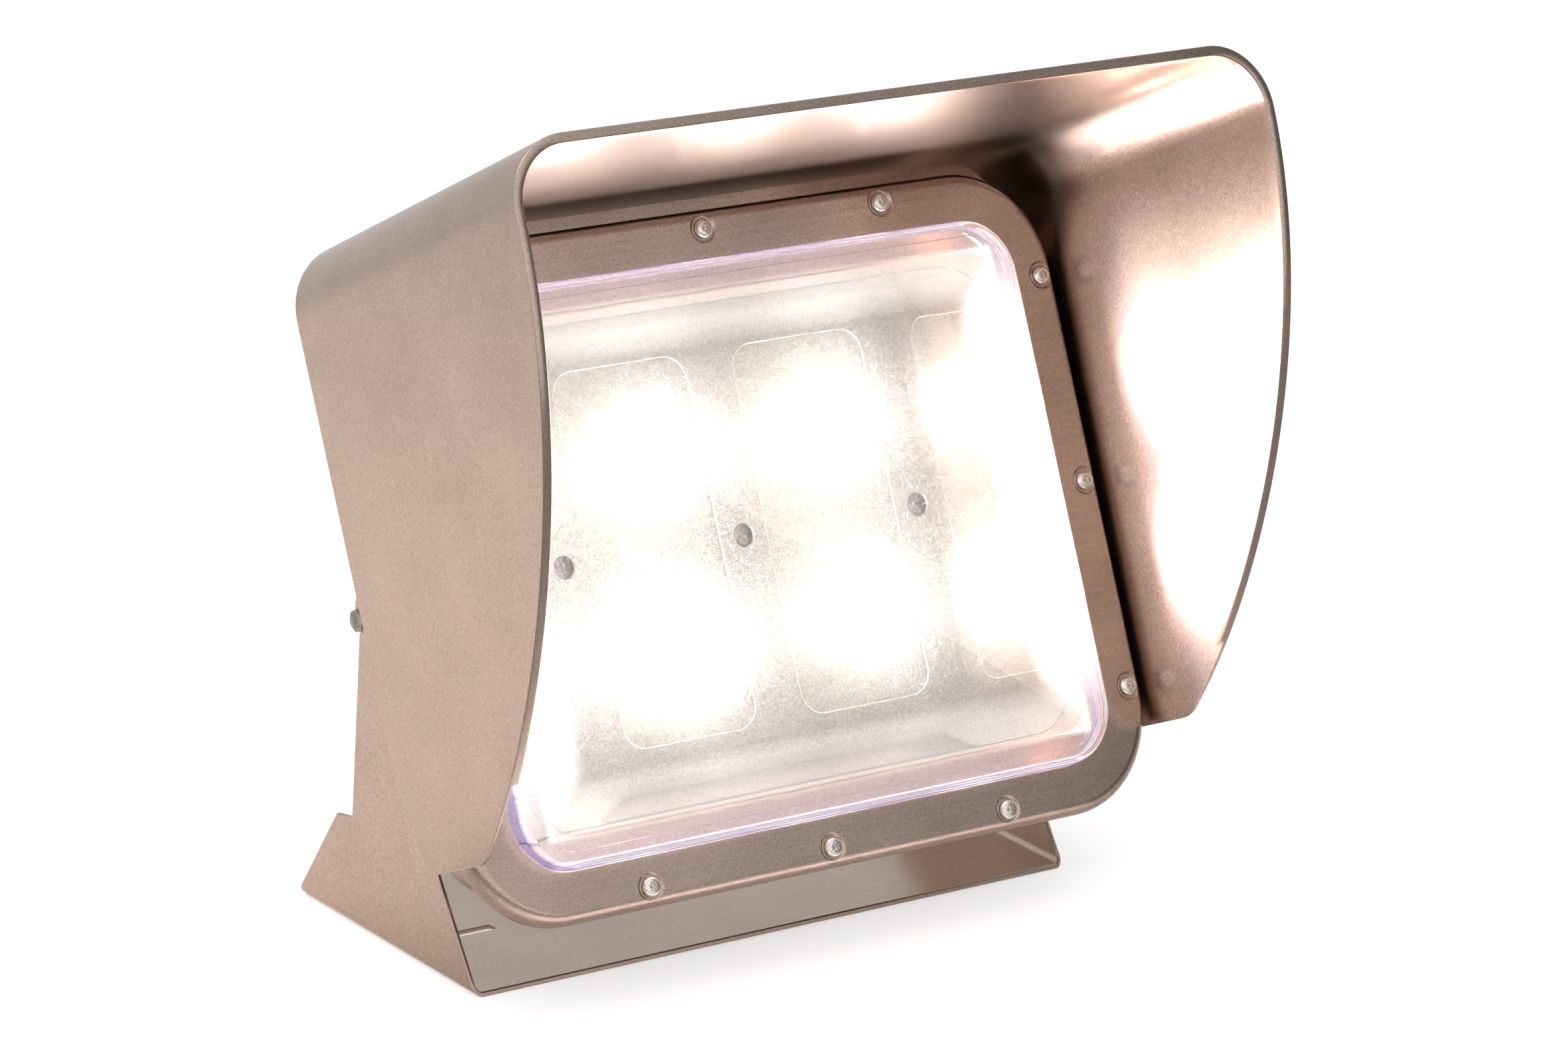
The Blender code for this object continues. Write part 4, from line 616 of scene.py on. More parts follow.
def moulded(name, dark, light, grain, detail, gloss, relief=0.0, **values):
    """Moulded rubber or plastic: a texture in tone and gloss, and in height where it has relief."""
    material, tree, shader, place = new_material(name, **values)
    texture = add_node(tree, "TexNoise", {"Vector": place, "Scale": 1 / grain, "Detail": detail})
    colour = add_node(tree, "ValToRGB", {"Fac": texture}, ramp=((0.0, dark), (1.0, light)))
    sheen = add_node(tree, "MapRange", {"Value": texture, "To Min": gloss[0], "To Max": gloss[1]})
    feed(tree, shader, {"Base Color": colour, "Roughness": sheen})
    if relief:
        bump = add_node(tree, "Bump", {"Height": texture, "Distance": relief, "Strength": 0.8})
        feed(tree, shader, {"Normal": bump})
    return material


# Chloroprene rubber, moulded: black, dull, with a faint bloom in patches of 4 mm.
black_rubber = moulded("Chloroprene rubber", "141415", "2B2B2C", grain=0.004, detail=4.0,
                       gloss=(0.62, 0.85), Specular_IOR_Level=0.3)


def drive_screw(name, mesh, seat):
    """Drive a polished screw into its seat. Its node has its name in small letters."""
    screw = add_piece(name, mesh, bright_stainless, seat)
    stand_for(screw, name.lower())


def paint(node, material):
    """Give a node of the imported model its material."""
    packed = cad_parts[node]
    packed.data.materials.clear()
    packed.data.materials.append(material)


shift = (BOX[2] - BOX_LEDGE / 2) * (1 - cos(pi / 4))
across = BOX[0] / 2 - DRAFT - BOX_LEDGE / 2 - shift
up = BOX[1] / 2 - DRAFT - BOX_LEDGE / 2 - shift
places = [(x * across, y * up) for x in (-1, 1) for y in (-1, 1)]
outline = rounded_rectangle(*inset(BOX, DRAFT, 0.0)[:3])
holes = [circle(COVER_SCREW[2] + GAP, middle, 24) for middle in places]
depth = -BOX_DEPTH - COVER_GASKET - 2 * GAP
cover = add_piece("Rear_cover", plate("rear cover", [outline] + holes, COVER_SHEET), satin_steel,
                  in_head(z=depth - COVER_SHEET / 2))
ease_edges(cover, 0.0003)
stand_for(cover, "rear_cover")
paint("cover_gasket", black_rubber)
mesh = button_head("cover screw", *COVER_SCREW)
for index, (x, y) in enumerate(places):
    seat = in_head(x, y, depth - COVER_SHEET - GAP) @ Matrix.Rotation(pi, 4, "X")
    drive_screw(f"Cover_screw_{index + 1}", mesh, seat)


# Driver and terminal block, out of sight on the inside of the rear cover: an extruded
# aluminium case, and a block of black nylon.
mill_aluminium = grained_metal("Mill-finish aluminium", "B4B4B2", "CECECC", grain=0.0012,
                               relief=0.00001, roughness=0.38, lines=(0.12, 0.003, 0.12))

# Glass-filled nylon, moulded: black with a spark-eroded texture of 0.6 mm and a low sheen.
black_nylon = moulded("Black glass-filled nylon", "161617", "313133", grain=0.0006, detail=2.0,
                      gloss=(0.38, 0.58), relief=0.00003, IOR=1.53)

paint("led_driver", mill_aluminium)
paint("terminal_block", black_nylon)


# Cable gland: an M20 body of black nylon screwed into the bottom of the box, and its dome nut,
# fluted for grip, which draws a rubber seal onto the cable.
GLAND_ACROSS = 0.085
GLAND_HEX = 0.025
GLAND_HEX_HEIGHT = 0.008
GLAND_NUT = (0.012, 0.016, 0.0096, 0.0079)
GLAND_GROOVES = 12
GLAND_GROOVE_DEPTH = 0.0009
GLAND_NUT_EDGE = 0.0006
THREAD_RADIUS = 0.010
CABLE_BORE = 0.0045


def grooved_rings(profile, depths):
    """Rings about Z through (radius, height, share), sunk by a share of the depth at each step."""
    rings = []
    for radius, height, share in profile:
        ring = []
        for step, depth in enumerate(depths):
            angle = 2 * pi * step / len(depths)
            reach = radius - depth * max(share, 0.0)
            ring.append((reach * cos(angle), reach * sin(angle), height))
        rings.append(ring)
    return rings


depth = -(SECOND_STEP_DEPTH + BOX_DEPTH) / 2
height = DRAFT / 2 - BOX[1] / 2
turn = Matrix.Rotation(-pi / 2, 4, "X")
gland_place = in_head(GLAND_ACROSS, height, depth) @ turn
down = lifted(-DRAFT - GAP) @ Matrix.Rotation(pi, 4, "X")
prism, cone = hexagonal("gland body", GLAND_HEX, GLAND_HEX_HEIGHT, 0.0, 0.15)
gland = add_piece("Cable_gland", prism, black_nylon, gland_place @ down)
cut(gland, cone, operation="INTERSECT")
thread = plate("thread", [circle(THREAD_RADIUS)], 0.012, lifted(-0.003))
cut(gland, thread, operation="UNION")
cut(gland, plate("bore", [circle(CABLE_BORE)], 0.08))
ease_edges(gland, 0.0003)
radius, length, grip, mouth = GLAND_NUT
profile = [(CABLE_BORE, 0.0, 0.0), (radius - GLAND_NUT_EDGE, 0.0, 0.0), (radius - 0.0001, 0.0005, 0.5)]
profile += [(radius, 0.0012, 1.0), (radius, grip - 0.001, 1.0)]
for step in range(1, 9):
    angle = pi / 2 * step / 8
    reach = grip + (length - grip) * sin(angle)
    profile.append((mouth + (radius - mouth) * cos(angle), reach, 1.0 - step / 4))
profile += [(CABLE_BORE + GLAND_NUT_EDGE, length, 0.0), (CABLE_BORE, length - GLAND_NUT_EDGE, 0.0)]
waves = [max(0.0, cos(2 * pi * GLAND_GROOVES * step / 144)) for step in range(144)]
rings = grooved_rings(profile, [wave**4 * GLAND_GROOVE_DEPTH for wave in waves])
nut_place = gland_place @ down @ lifted(GLAND_HEX_HEIGHT + GAP)
gland_nut = add_piece("Gland_nut", loft("gland nut", rings), black_nylon, nut_place)
stand_for(gland, "cable_gland")
stand_for(gland_nut, "gland_nut")


# Breather vent: a low black nylon cap over a membrane, which lets the box breathe through the
# gaps between its grip ribs.
VENT_RADIUS = 0.008
VENT_HEIGHT = 0.005
VENT_RIBS = 12
VENT_GROOVE_DEPTH = 0.0006
vent_place = in_head(-GLAND_ACROSS, height, depth) @ turn @ down
profile = [(0.006, -0.008, 0.0), (0.006, 0.0, 0.0), (VENT_RADIUS - 0.0002, 0.0, 1.0)]
profile += [(VENT_RADIUS, 0.0004, 1.0), (VENT_RADIUS, VENT_HEIGHT - 0.002, 1.0)]
profile += [(VENT_RADIUS - 0.0008, VENT_HEIGHT - 0.0006, 0.6), (VENT_RADIUS - 0.002, VENT_HEIGHT, 0.0)]
rings = grooved_rings(profile, VENT_RIBS * (3 * [VENT_GROOVE_DEPTH] + 7 * [0.0]))
vent = add_piece("Breather_vent", loft("breather vent", rings, closed=False), black_nylon, vent_place)
stand_for(vent, "breather_vent")


# LED plate: a 1.5 mm stainless reflector sheet, coarsely bead blasted, its wings folded 12
# degrees back, and its lower and upper edges rolled back between the folds. Four windows show
# the LED boards, and three round holes clear the fixings.
PLATE_DEPTH = 0.020
PLATE_SHEET = 0.0015
FOLD = radians(12.0)
FOLD_ACROSS = 0.113
WING_LENGTH = 0.073302
PLATE_TOP = 0.110
PLATE_BOTTOM = -0.101
PLATE_LIMITS = (0.3694, 0.2354, 0.0307)
PLATE_ROLL = 0.0074
PLATE_ROLL_RUN_OUT = 0.016
WINDOW = (0.077, 0.180, 0.012)
WINDOW_PITCH = 0.1046
WINDOW_LIFT = 0.004
WING_WINDOW_WIDTH = 0.059
WING_WINDOW_CENTRE = 0.0404
PLATE_HOLE = 0.00575
PLATE_SCREW = (0.0031, 0.0019, 0.0015, 0.0062, 0.0011)
PLATE_SCREWS_ALONG = ((-1, 0.0318), (1, 0.0620))
PLATE_SCREW_ROWS = (-0.0948, 0.1038)


def folded_line(offset):
    """Points across a folded sheet as (x, z), at an offset behind the LED plate's front."""
    knee = (FOLD_ACROSS - offset * tan(FOLD / 2), -PLATE_DEPTH - offset)
    x = FOLD_ACROSS + WING_LENGTH * cos(FOLD) - offset * sin(FOLD)
    z = -PLATE_DEPTH - WING_LENGTH * sin(FOLD) - offset * cos(FOLD)
    return [(-x, z), (-knee[0], knee[1]), knee, (x, z)]


def wing(side):
    """Place of a wing's fold line, with x along the wing and z out of its front."""
    turn = Matrix.Rotation(side * FOLD, 4, "Y")
    return in_head(side * FOLD_ACROSS, 0.0, -PLATE_DEPTH) @ turn


def panels():
    """Place and width of each window, from left to right."""
    found = []
    for side in (-1, 1):
        lift = Matrix.Translation((side * WING_WINDOW_CENTRE, WINDOW_LIFT, 0.0))
        found.append((wing(side) @ lift, WING_WINDOW_WIDTH))
        found.append((in_head(side * WINDOW_PITCH / 2, WINDOW_LIFT, -PLATE_DEPTH), WINDOW[0]))
    return [found[0], found[1], found[3], found[2]]


# Stainless sheet blasted with coarse glass bead: pale, with a sparkle from each dimple. The
# real dimples are about 0.3 mm and are drawn at 1.1 mm, as fine as the picture can hold.
blasted_steel = grained_metal("Coarse bead-blasted stainless sheet", "6D6A65", "8F8B85", grain=0.0011,
                              relief=0.00005, roughness=0.44, metallic=0.75)


def plate_rise(offset, rolled):
    """Heights up the LED plate and how far each lies back, from its lower edge to its upper one."""
    radius = PLATE_ROLL - offset
    points = []
    for edge, side in ((PLATE_BOTTOM, -1), (PLATE_TOP, 1)):
        beyond = PLATE_LIMITS[1] / 2 + PLATE_SHEET - side * edge
        bend = []
        for step in range(13):
            angle = pi / 2 * step / 12
            reach = radius if rolled else beyond
            bend.append((edge + side * reach * sin(angle), radius * (1 - cos(angle)) if rolled else 0.0))
        points += bend if side > 0 else reversed(bend)
    return points


front = folded_line(0.0)
behind = folded_line(PLATE_SHEET)
stations = [(front[0], behind[0], False), (front[1], behind[1], False)]
for x in (PLATE_ROLL_RUN_OUT - FOLD_ACROSS, FOLD_ACROSS - PLATE_ROLL_RUN_OUT):
    stations.append(((x, front[1][1]), (x, behind[1][1]), True))
stations += [(front[2], behind[2], False), (front[3], behind[3], False)]
rings = []
for (x, z), (behind_x, behind_z), rolled in stations:
    ring = [(x, y, z - drop) for y, drop in plate_rise(0.0, rolled)]
    ring += [(behind_x, y, behind_z - drop) for y, drop in reversed(plate_rise(PLATE_SHEET, rolled))]
    rings.append(ring)
led_plate = add_piece("LED_plate", loft("LED plate", rings, closed=False), blasted_steel, in_head())
cut(led_plate, plate("room", [rounded_rectangle(*PLATE_LIMITS)], 0.2), operation="INTERSECT")
for place, width in panels():
    cut(led_plate, plate("window", [rounded_rectangle(width, *WINDOW[1:])], 0.009), place)
for x in (-WINDOW_PITCH, 0.0, WINDOW_PITCH):
    cut(led_plate, plate("hole", [circle(PLATE_HOLE)], 0.012), in_head(x, WINDOW_LIFT, -PLATE_DEPTH))
mesh = button_head("plate screw", *PLATE_SCREW)
number = 0
for side, along_wing in PLATE_SCREWS_ALONG:
    for y in PLATE_SCREW_ROWS:
        number += 1
        seat = wing(side) @ Matrix.Translation((side * along_wing, y, GAP))
        cut(led_plate, plate("screw hole", [circle(PLATE_SCREW[2] + GAP, steps=24)], 0.012), seat)
        drive_screw(f"Plate_screw_{number}", mesh, seat)
ease_edges(led_plate, 0.0004, 3)
stand_for(led_plate, "led_plate")


# Heat spreader: a folded aluminium plate behind the boards, which takes their heat to the
# housing. It is anodised a dull bronze grey, and shows only through the plate's round holes.
bronze_anodised = grained_metal("Bronze anodised aluminium", "5C5150", "6E6261", grain=0.0012,
                                relief=0.00001, roughness=0.5, metallic=0.8)
paint("heat_spreader", bronze_anodised)


# LED boards and emitters: aluminium-cored boards behind the windows, each with two round
# chip-on-board emitters under clear silicone domes, lit.
BOARD_THICKNESS = 0.0016
BOARD_MARGIN = 0.0015
BOARD_CORNER = 0.002
EMITTER_SPREAD = 0.047
EMITTER_RADIUS = 0.017
EMITTER_BASE = 0.0022
EMITTER_EDGE = 0.0006
DOME_RADIUS = 0.0125
DOME_HEIGHT = 0.009

# Anodised aluminium face of the boards, with the same dimpled look as the plate round them.
board_metal = grained_metal("Anodised aluminium board", "6D6A65", "8F8B85", grain=0.0011,
                            relief=0.00004, roughness=0.46, metallic=0.75)

# Phosphor under clear silicone, lit: a barely warm white, warmer between the chips, and far
# brighter than anything else in view.
lit_phosphor, tree, shader, place = new_material("Lit phosphor under silicone", Roughness=0.25, IOR=1.41)
chips = add_node(tree, "TexVoronoi", {"Vector": place, "Scale": 1 / 0.003, "Randomness": 0.2})
colour = add_node(tree, "ValToRGB", {"Fac": chips}, ramp=((0.0, "FFFBF6"), (1.0, "FFF4E6")))
feed(tree, shader, {"Base Color": colour, "Emission Color": colour, "Emission Strength": 400.0})

profile = [(0.0, EMITTER_BASE + DOME_HEIGHT)]
for step in range(1, 13):
    angle = pi / 2 * step / 12
    profile.append((DOME_RADIUS * sin(angle), EMITTER_BASE + DOME_HEIGHT * cos(angle)))
profile += [(EMITTER_RADIUS - EMITTER_EDGE, EMITTER_BASE)]
profile += [(EMITTER_RADIUS, EMITTER_BASE - EMITTER_EDGE), (EMITTER_RADIUS, 0.0), (0.0, 0.0)]
dome = turned("emitter", profile)
number = 0
for index, (place, width) in enumerate(panels()):
    outline = rounded_rectangle(width + 2 * BOARD_MARGIN, WINDOW[1] + 2 * BOARD_MARGIN, BOARD_CORNER)
    middle = place @ lifted(-PLATE_SHEET - GAP - BOARD_THICKNESS / 2)
    mesh = plate("LED board", [outline], BOARD_THICKNESS)
    board = add_piece(f"LED_board_{index + 1}", mesh, board_metal, middle)
    ease_edges(board, 0.0002)
    stand_for(board, f"led_board_{index + 1}")
    for side in (-1, 1):
        number += 1
        seat = place @ Matrix.Translation((0.0, side * EMITTER_SPREAD, -PLATE_SHEET))
        emitter = add_piece(f"LED_emitter_{number}", dome, lit_phosphor, seat)
        stand_for(emitter, f"led_emitter_{number}")


# Lens: a clear polycarbonate moulding, 3 mm thick. Its flange lies on a rubber gasket in the
# housing's rebate, its wall stands out of the bezel, and a small step and a shallow ridge run
# round its face, the ridge a little wavy as mouldings of this size are.
OPENING = (0.349, 0.270, 0.0285)
LENS_THICKNESS = 0.003
LENS_STAND = 0.0087
LENS_RIM = 0.015
RIDGE_DROP = 0.0012
DISH_WIDTH = 0.013
DISH_DROP = 0.0008
LENS_STEP = (0.008, 0.0004)
LENS_EDGE_RADIUS = 0.0035
LENS_INNER_RADIUS = 0.0015
LENS_ROOT_RADIUS = 0.0004
RIDGE_INNER_RADIUS = 0.002
RIDGE_RADIUS = 0.0006
RIDGE_WAVE = 0.0004
LENS_AXIS = HEAD_FRAME.to_3x3() @ Vector((0.0, 0.0, 1.0))
LENS_UP = HEAD_FRAME.to_3x3() @ Vector((0.0, 1.0, 0.0))

# Polycarbonate: clear and glossy, with a fine haze of dust and a few sparkling grains that the
# light catches. The haze grows towards the rim and on the moulded ridge, is thinner on the rim
# itself, and the depth of the wall glows a faint violet.
polycarbonate, tree, shader, place = new_material("Clear polycarbonate", IOR=1.585,
                                                  Transmission_Weight=1.0)
normal = add_node(tree, "TexCoord", {}).outputs["Normal"]
outward = add_node(tree, "VectorMath", {0: normal, 1: LENS_AXIS}, operation="DOT_PRODUCT")
flat = add_node(tree, "Math", {0: outward.outputs["Value"]}, operation="ABSOLUTE")
wall = add_node(tree, "MapRange", {"Value": flat, "From Min": 0.2, "From Max": 0.7, "To Min": 1.0,
                                   "To Max": 0.0})
from_pivot = add_node(tree, "VectorMath", {0: place, 1: PIVOT}, operation="SUBTRACT")
reaches = []
for direction, half_size in ((Vector((1.0, 0.0, 0.0)), OPENING[0] / 2), (LENS_UP, OPENING[1] / 2)):
    reach = add_node(tree, "VectorMath", {0: from_pivot, 1: direction}, operation="DOT_PRODUCT")
    reach = add_node(tree, "Math", {0: reach.outputs["Value"]}, operation="ABSOLUTE")
    reaches.append(add_node(tree, "Math", {0: reach, 1: half_size - LENS_RIM}, operation="SUBTRACT"))
beyond = add_node(tree, "Math", {0: reaches[0], 1: reaches[1]}, operation="MAXIMUM")
on_rim = add_node(tree, "MapRange", {"Value": beyond, "From Min": 0.0, "From Max": 0.002})
ridge_line = add_node(tree, "Math", {0: beyond, 1: -RIDGE_DROP / 2, 2: 0.0009}, operation="COMPARE")
dust = add_node(tree, "TexNoise", {"Vector": place, "Scale": 1 / 0.0015, "Detail": 2.0})
clear_tint = add_node(tree, "ValToRGB", {"Fac": wall}, ramp=((0.0, "FCFCFE"), (1.0, "DDD8F3")))
gloss = add_node(tree, "MapRange", {"Value": dust, "From Min": 0.6, "From Max": 0.75,
                                    "To Min": 0.03, "To Max": 0.12})
feed(tree, shader, {"Base Color": clear_tint, "Roughness": gloss})
rim_tint = add_node(tree, "Mix", {0: on_rim, 6: linear("FFFFFF"), 7: linear("D8D0DA")},
                    data_type="RGBA")
tint = add_node(tree, "Mix", {0: wall, 6: rim_tint.outputs[2], 7: linear("A79EE0")}, data_type="RGBA")
haze = add_node(tree, "BsdfTranslucent", {"Color": tint.outputs[2]})
amount = add_node(tree, "MapRange", {"Value": dust, "From Min": 0.5, "From Max": 0.8,
                                     "To Min": 0.004, "To Max": 0.02})
sparkle = add_node(tree, "TexNoise", {"Vector": place, "Scale": 1 / 0.0006, "Detail": 0.0})
sparkle = add_node(tree, "MapRange", {"Value": sparkle, "From Min": 0.74, "From Max": 0.78})
edge = add_node(tree, "MapRange", {"Value": beyond, "From Min": -0.026, "From Max": -0.004})
for share, where in ((0.06, edge), (-0.022, on_rim), (0.04, ridge_line), (0.07, sparkle)):
    amount = add_node(tree, "Math", {0: where, 1: share, 2: amount}, operation="MULTIPLY_ADD")
amount = add_node(tree, "Mix", {0: wall, 2: amount, 3: 0.018})
clear = add_node(tree, "MixShader", {0: amount, 1: shader, 2: haze})
shadow_ray = add_node(tree, "LightPath", {}).outputs["Is Shadow Ray"]
passed = add_node(tree, "BsdfTransparent", {"Color": linear("F2F2F8")})
seen = add_node(tree, "MixShader", {0: shadow_ray, 1: clear, 2: passed})
feed(tree, tree.nodes["Material Output"], {"Surface": seen})

flange_front = -BEZEL_SHEET - GAP
flange_back = flange_front - LENS_THICKNESS
ridge = LENS_STAND - RIDGE_DROP
dish = ridge - DISH_DROP
middle = LENS_RIM + DISH_WIDTH
step_in, step_down = LENS_STEP
below = LENS_STAND - step_down
rows = (
    (OPENING, middle, dish - LENS_THICKNESS),
    (OPENING, LENS_RIM + RIDGE_DROP, ridge - LENS_THICKNESS, RIDGE_INNER_RADIUS),
    (OPENING, GAP + LENS_THICKNESS, ridge - LENS_THICKNESS, LENS_INNER_RADIUS),
    (OPENING, GAP + LENS_THICKNESS, flange_back),
    (rim, FLANGE_INSET, flange_back),
    (rim, FLANGE_INSET, flange_front),
    (OPENING, GAP, flange_front, LENS_ROOT_RADIUS),
    (OPENING, GAP, LENS_STAND, LENS_EDGE_RADIUS),
    (OPENING, step_in, LENS_STAND),
    (OPENING, step_in + step_down, below),
    (OPENING, LENS_RIM, below, RIDGE_RADIUS),
    (OPENING, LENS_RIM + RIDGE_DROP, ridge, RIDGE_RADIUS),
    (OPENING, middle, dish),
)
rings = []
for width, height, corner, depth in soften(rows, 5):
    ring = []
    near_ridge = abs((OPENING[0] - width) / 2 - LENS_RIM) < 0.003
    for x, y in ring_points(width, height, corner, 26):
        wave = noise.noise(Vector((x, y, 0.0)) * 60) * RIDGE_WAVE if near_ridge else 0.0
        away = Vector((x, y)).normalized() * wave
        ring.append((x + away.x, y + away.y, depth))
    rings.append(ring)
lens = add_piece("Lens", loft("lens", rings, closed=False), polycarbonate, in_head(), 40.0)
stand_for(lens, "lens")
paint("lens_gasket", black_rubber)


# Bezel: a frame pressed from 2 mm stainless sheet, its outer edge rolled over into a skirt.
# Twelve M5 button-head screws in shallow pressed seats clamp it on the lens flange.
BEZEL_SKIRT = 0.009
BEZEL_EDGE = 0.0003
OPENING_EDGE = 0.0005
BEZEL_SCREW = (0.00475, 0.0027, 0.0025, 0.009, 0.0022)
SEAT_RADIUS = 0.0074
SEAT_SLOPE = 0.0016
SEAT_DEPTH = 0.0008
SCREW_COLUMN = 0.194
SCREW_ROW = 0.1498
SCREW_PITCH_ACROSS = 0.106
SCREW_PITCH_UP = 0.103
SCREW_TURN = 3700.0

rows = (
    (BEZEL, 0.0, 0.0, BEZEL_ROLL),
    (BEZEL, 0.0, -BEZEL_SKIRT, BEZEL_EDGE),
    (BEZEL, BEZEL_SHEET, -BEZEL_SKIRT, BEZEL_EDGE),
    (BEZEL, BEZEL_SHEET, -BEZEL_SHEET, BEZEL_ROLL - BEZEL_SHEET),
    (OPENING, 0.0, -BEZEL_SHEET, BEZEL_EDGE),
    (OPENING, 0.0, 0.0, OPENING_EDGE),
)
bezel = add_piece("Bezel", drawn_shell("bezel", rows, 8, 1), satin_steel, in_head())
places = {}
for index in (-1, 0, 1):
    places[f"top_{index + 2}"] = (index * SCREW_PITCH_ACROSS, SCREW_ROW)
    places[f"bottom_{index + 2}"] = (index * SCREW_PITCH_ACROSS, -SCREW_ROW)
    places[f"left_{index + 2}"] = (-SCREW_COLUMN, index * SCREW_PITCH_UP)
    places[f"right_{index + 2}"] = (SCREW_COLUMN, index * SCREW_PITCH_UP)
seat_profile = [(0.0, 0.002), (SEAT_RADIUS, 0.002), (SEAT_RADIUS, 0.00001)]
for step in range(1, 9):
    angle = pi * step / 8
    seat_profile.append((SEAT_RADIUS - SEAT_SLOPE * step / 8, SEAT_DEPTH * (cos(angle) - 1) / 2))
bore = BEZEL_SCREW[2] + GAP
seat_profile += [(bore, -SEAT_DEPTH), (bore, -BEZEL_SKIRT), (0.0, -BEZEL_SKIRT)]
for x, y in places.values():
    cut(bezel, turned("seat", seat_profile), in_head(x, y))
ease_edges(bezel, 0.0001, 1, 60.0)
stand_for(bezel, "bezel")
bezel_screw = button_head("bezel screw", *BEZEL_SCREW)
for word, (x, y) in places.items():
    spin = Matrix.Rotation(SCREW_TURN * (x + 2 * y), 4, "Z")
    drive_screw(f"Bezel_screw_{word}", bezel_screw, in_head(x, y, GAP - SEAT_DEPTH) @ spin)


# Hood: one 2 mm stainless sheet bent over the top and down both sides, flared forwards. Its
# front edge is folded back on itself as a hem, and its rear flanges are screwed to the step of
# the housing from behind.
HALF_WIDTH = 0.209
HOOD_TOP = 0.1727
HOOD_BOTTOM = 0.124
FLARE = 0.0455
LEAN = 0.0084
RISE = 0.0577
HOOD_BEND = 0.0325
REACH = 0.1702
HOOD_REAR = FIRST_STEP_DEPTH + SHEET + 2 * GAP
NOSE_PULL = 0.1015
CHIN_AHEAD = 0.025
CHIN_LEAN = radians(52.0)
CHIN_PULL = 0.096
CHIN_RADIUS = 0.018
HEM_DEPTH = 0.008
HEM_THICKNESS = 0.005
HEM_ROUNDING = 0.0009
HEM_GAP = 0.0005
HOOD_EDGE = 0.0003
HEM_EDGE = 0.0004
HEM_MOUTH = 0.003
HEM_ABOVE_BOTTOM = 0.032
FLANGE_LOW = 0.112
SCREW_INSET = 0.010
SCREW_UP = 0.080


def half_width(z, y):
    """Outside of a side panel at a depth z and a height y."""
    return HALF_WIDTH + FLARE * z + LEAN * y


def front_edge():
    """A side panel's front edge as (z, y), up from its rounded lower corner."""
    chin = Vector((CHIN_AHEAD, -HOOD_BOTTOM))
    run = Vector((sin(CHIN_LEAN), cos(CHIN_LEAN)))
    reach = CHIN_RADIUS * tan((pi / 2 - CHIN_LEAN) / 2)
    first = chin + run * reach
    nose = Vector((REACH, HOOD_TOP + RISE * REACH - HOOD_BEND))
    centre = Vector((CHIN_AHEAD - reach, CHIN_RADIUS - HOOD_BOTTOM))
    points = []
    for step in range(10):
        angle = (pi / 2 - CHIN_LEAN) * step / 10 - pi / 2
        points.append(centre + CHIN_RADIUS * Vector((cos(angle), sin(angle))))
    pulls = (first, first + run * CHIN_PULL, nose - Vector((0.0, NOSE_PULL)), nose)
    for step in range(41):
        t = step / 40
        weights = ((1 - t) ** 3, 3 * (1 - t) ** 2 * t, 3 * (1 - t) * t**2, t**3)
        points.append(sum((w * p for w, p in zip(weights, pulls)), Vector((0.0, 0.0))))
    return points


def hood_stations():
    """Rear point, front point, outward direction and hem of each line along the hood."""
    left = []
    rear_z = -HOOD_REAR
    top_rear = HOOD_TOP + RISE * rear_z
    top_front = HOOD_TOP + RISE * REACH
    fall = (top_front - top_rear) / (top_front - HOOD_BEND + HOOD_BOTTOM)
    hem_end = HEM_ABOVE_BOTTOM - HOOD_BOTTOM
    edge = []
    points = front_edge()
    for point, following in zip(points, points[1:] + [None]):
        edge.append((point, point.y > hem_end))
        if following is not None and point.y <= hem_end < following.y:
            share = (hem_end - point.y) / (following.y - point.y)
            edge.append((point.lerp(following, share), False))
            edge.append((point.lerp(following, share + 0.03), True))
    for (z, y), hemmed in edge:
        rear_y = y - (y + HOOD_BOTTOM) * fall
        rear_point = (half_width(rear_z, rear_y), rear_y, rear_z)
        left.append((rear_point, (half_width(z, y), y, z), (1.0, 0.0), hemmed))
    for step in range(1, 17):
        angle = pi / 2 * step / 16
        ends = []
        for z in (rear_z, REACH):
            level = HOOD_TOP + RISE * z - HOOD_BEND
            across = half_width(z, level) - HOOD_BEND
            ends.append((across + HOOD_BEND * cos(angle), level + HOOD_BEND * sin(angle), z))
        left.append((ends[0], ends[1], (cos(angle), sin(angle)), True))
    mirrored = [((-a[0], *a[1:]), (-b[0], *b[1:]), (-n[0], n[1]), h) for a, b, n, h in left]
    return mirrored + list(reversed(left))


rings = []
for rear_point, front_point, outward, hemmed in hood_stations():
    rear_point = Vector(rear_point)
    front_point = Vector(front_point)
    inward = -Vector((*outward, 0.0))
    length = (front_point - rear_point).length
    ahead = (front_point - rear_point) / length
    ring = [(0.0, HOOD_EDGE), (HOOD_EDGE, 0.0)]
    fold = HEM_THICKNESS if hemmed else SHEET
    for middle, first in ((HEM_ROUNDING, 0.0), (fold - HEM_ROUNDING, pi / 2)):
        for step in range(5):
            angle = pi / 8 * step + first
            ring.append((length - HEM_ROUNDING * (1 - sin(angle)), middle - HEM_ROUNDING * cos(angle)))
    if hemmed:
        back = length - HEM_DEPTH
        ring += [(back + HEM_EDGE, fold), (back, fold - HEM_EDGE)]
        ring += [(back, SHEET + HEM_GAP + HEM_EDGE), (back + HOOD_EDGE, SHEET + HEM_GAP)]
        ring += [(length - HEM_MOUTH, SHEET + HEM_GAP), (length - HEM_MOUTH, SHEET)]
    else:
        ring += [(length - 0.002 - 0.0005 * step, SHEET) for step in range(6)]
    ring += [(HOOD_EDGE, SHEET), (0.0, SHEET - HOOD_EDGE)]
    rings.append([rear_point + ahead * u + inward * v for u, v in ring])
hood = add_piece("Hood", loft("hood", rings, closed=False), satin_steel, in_head(), 40.0)
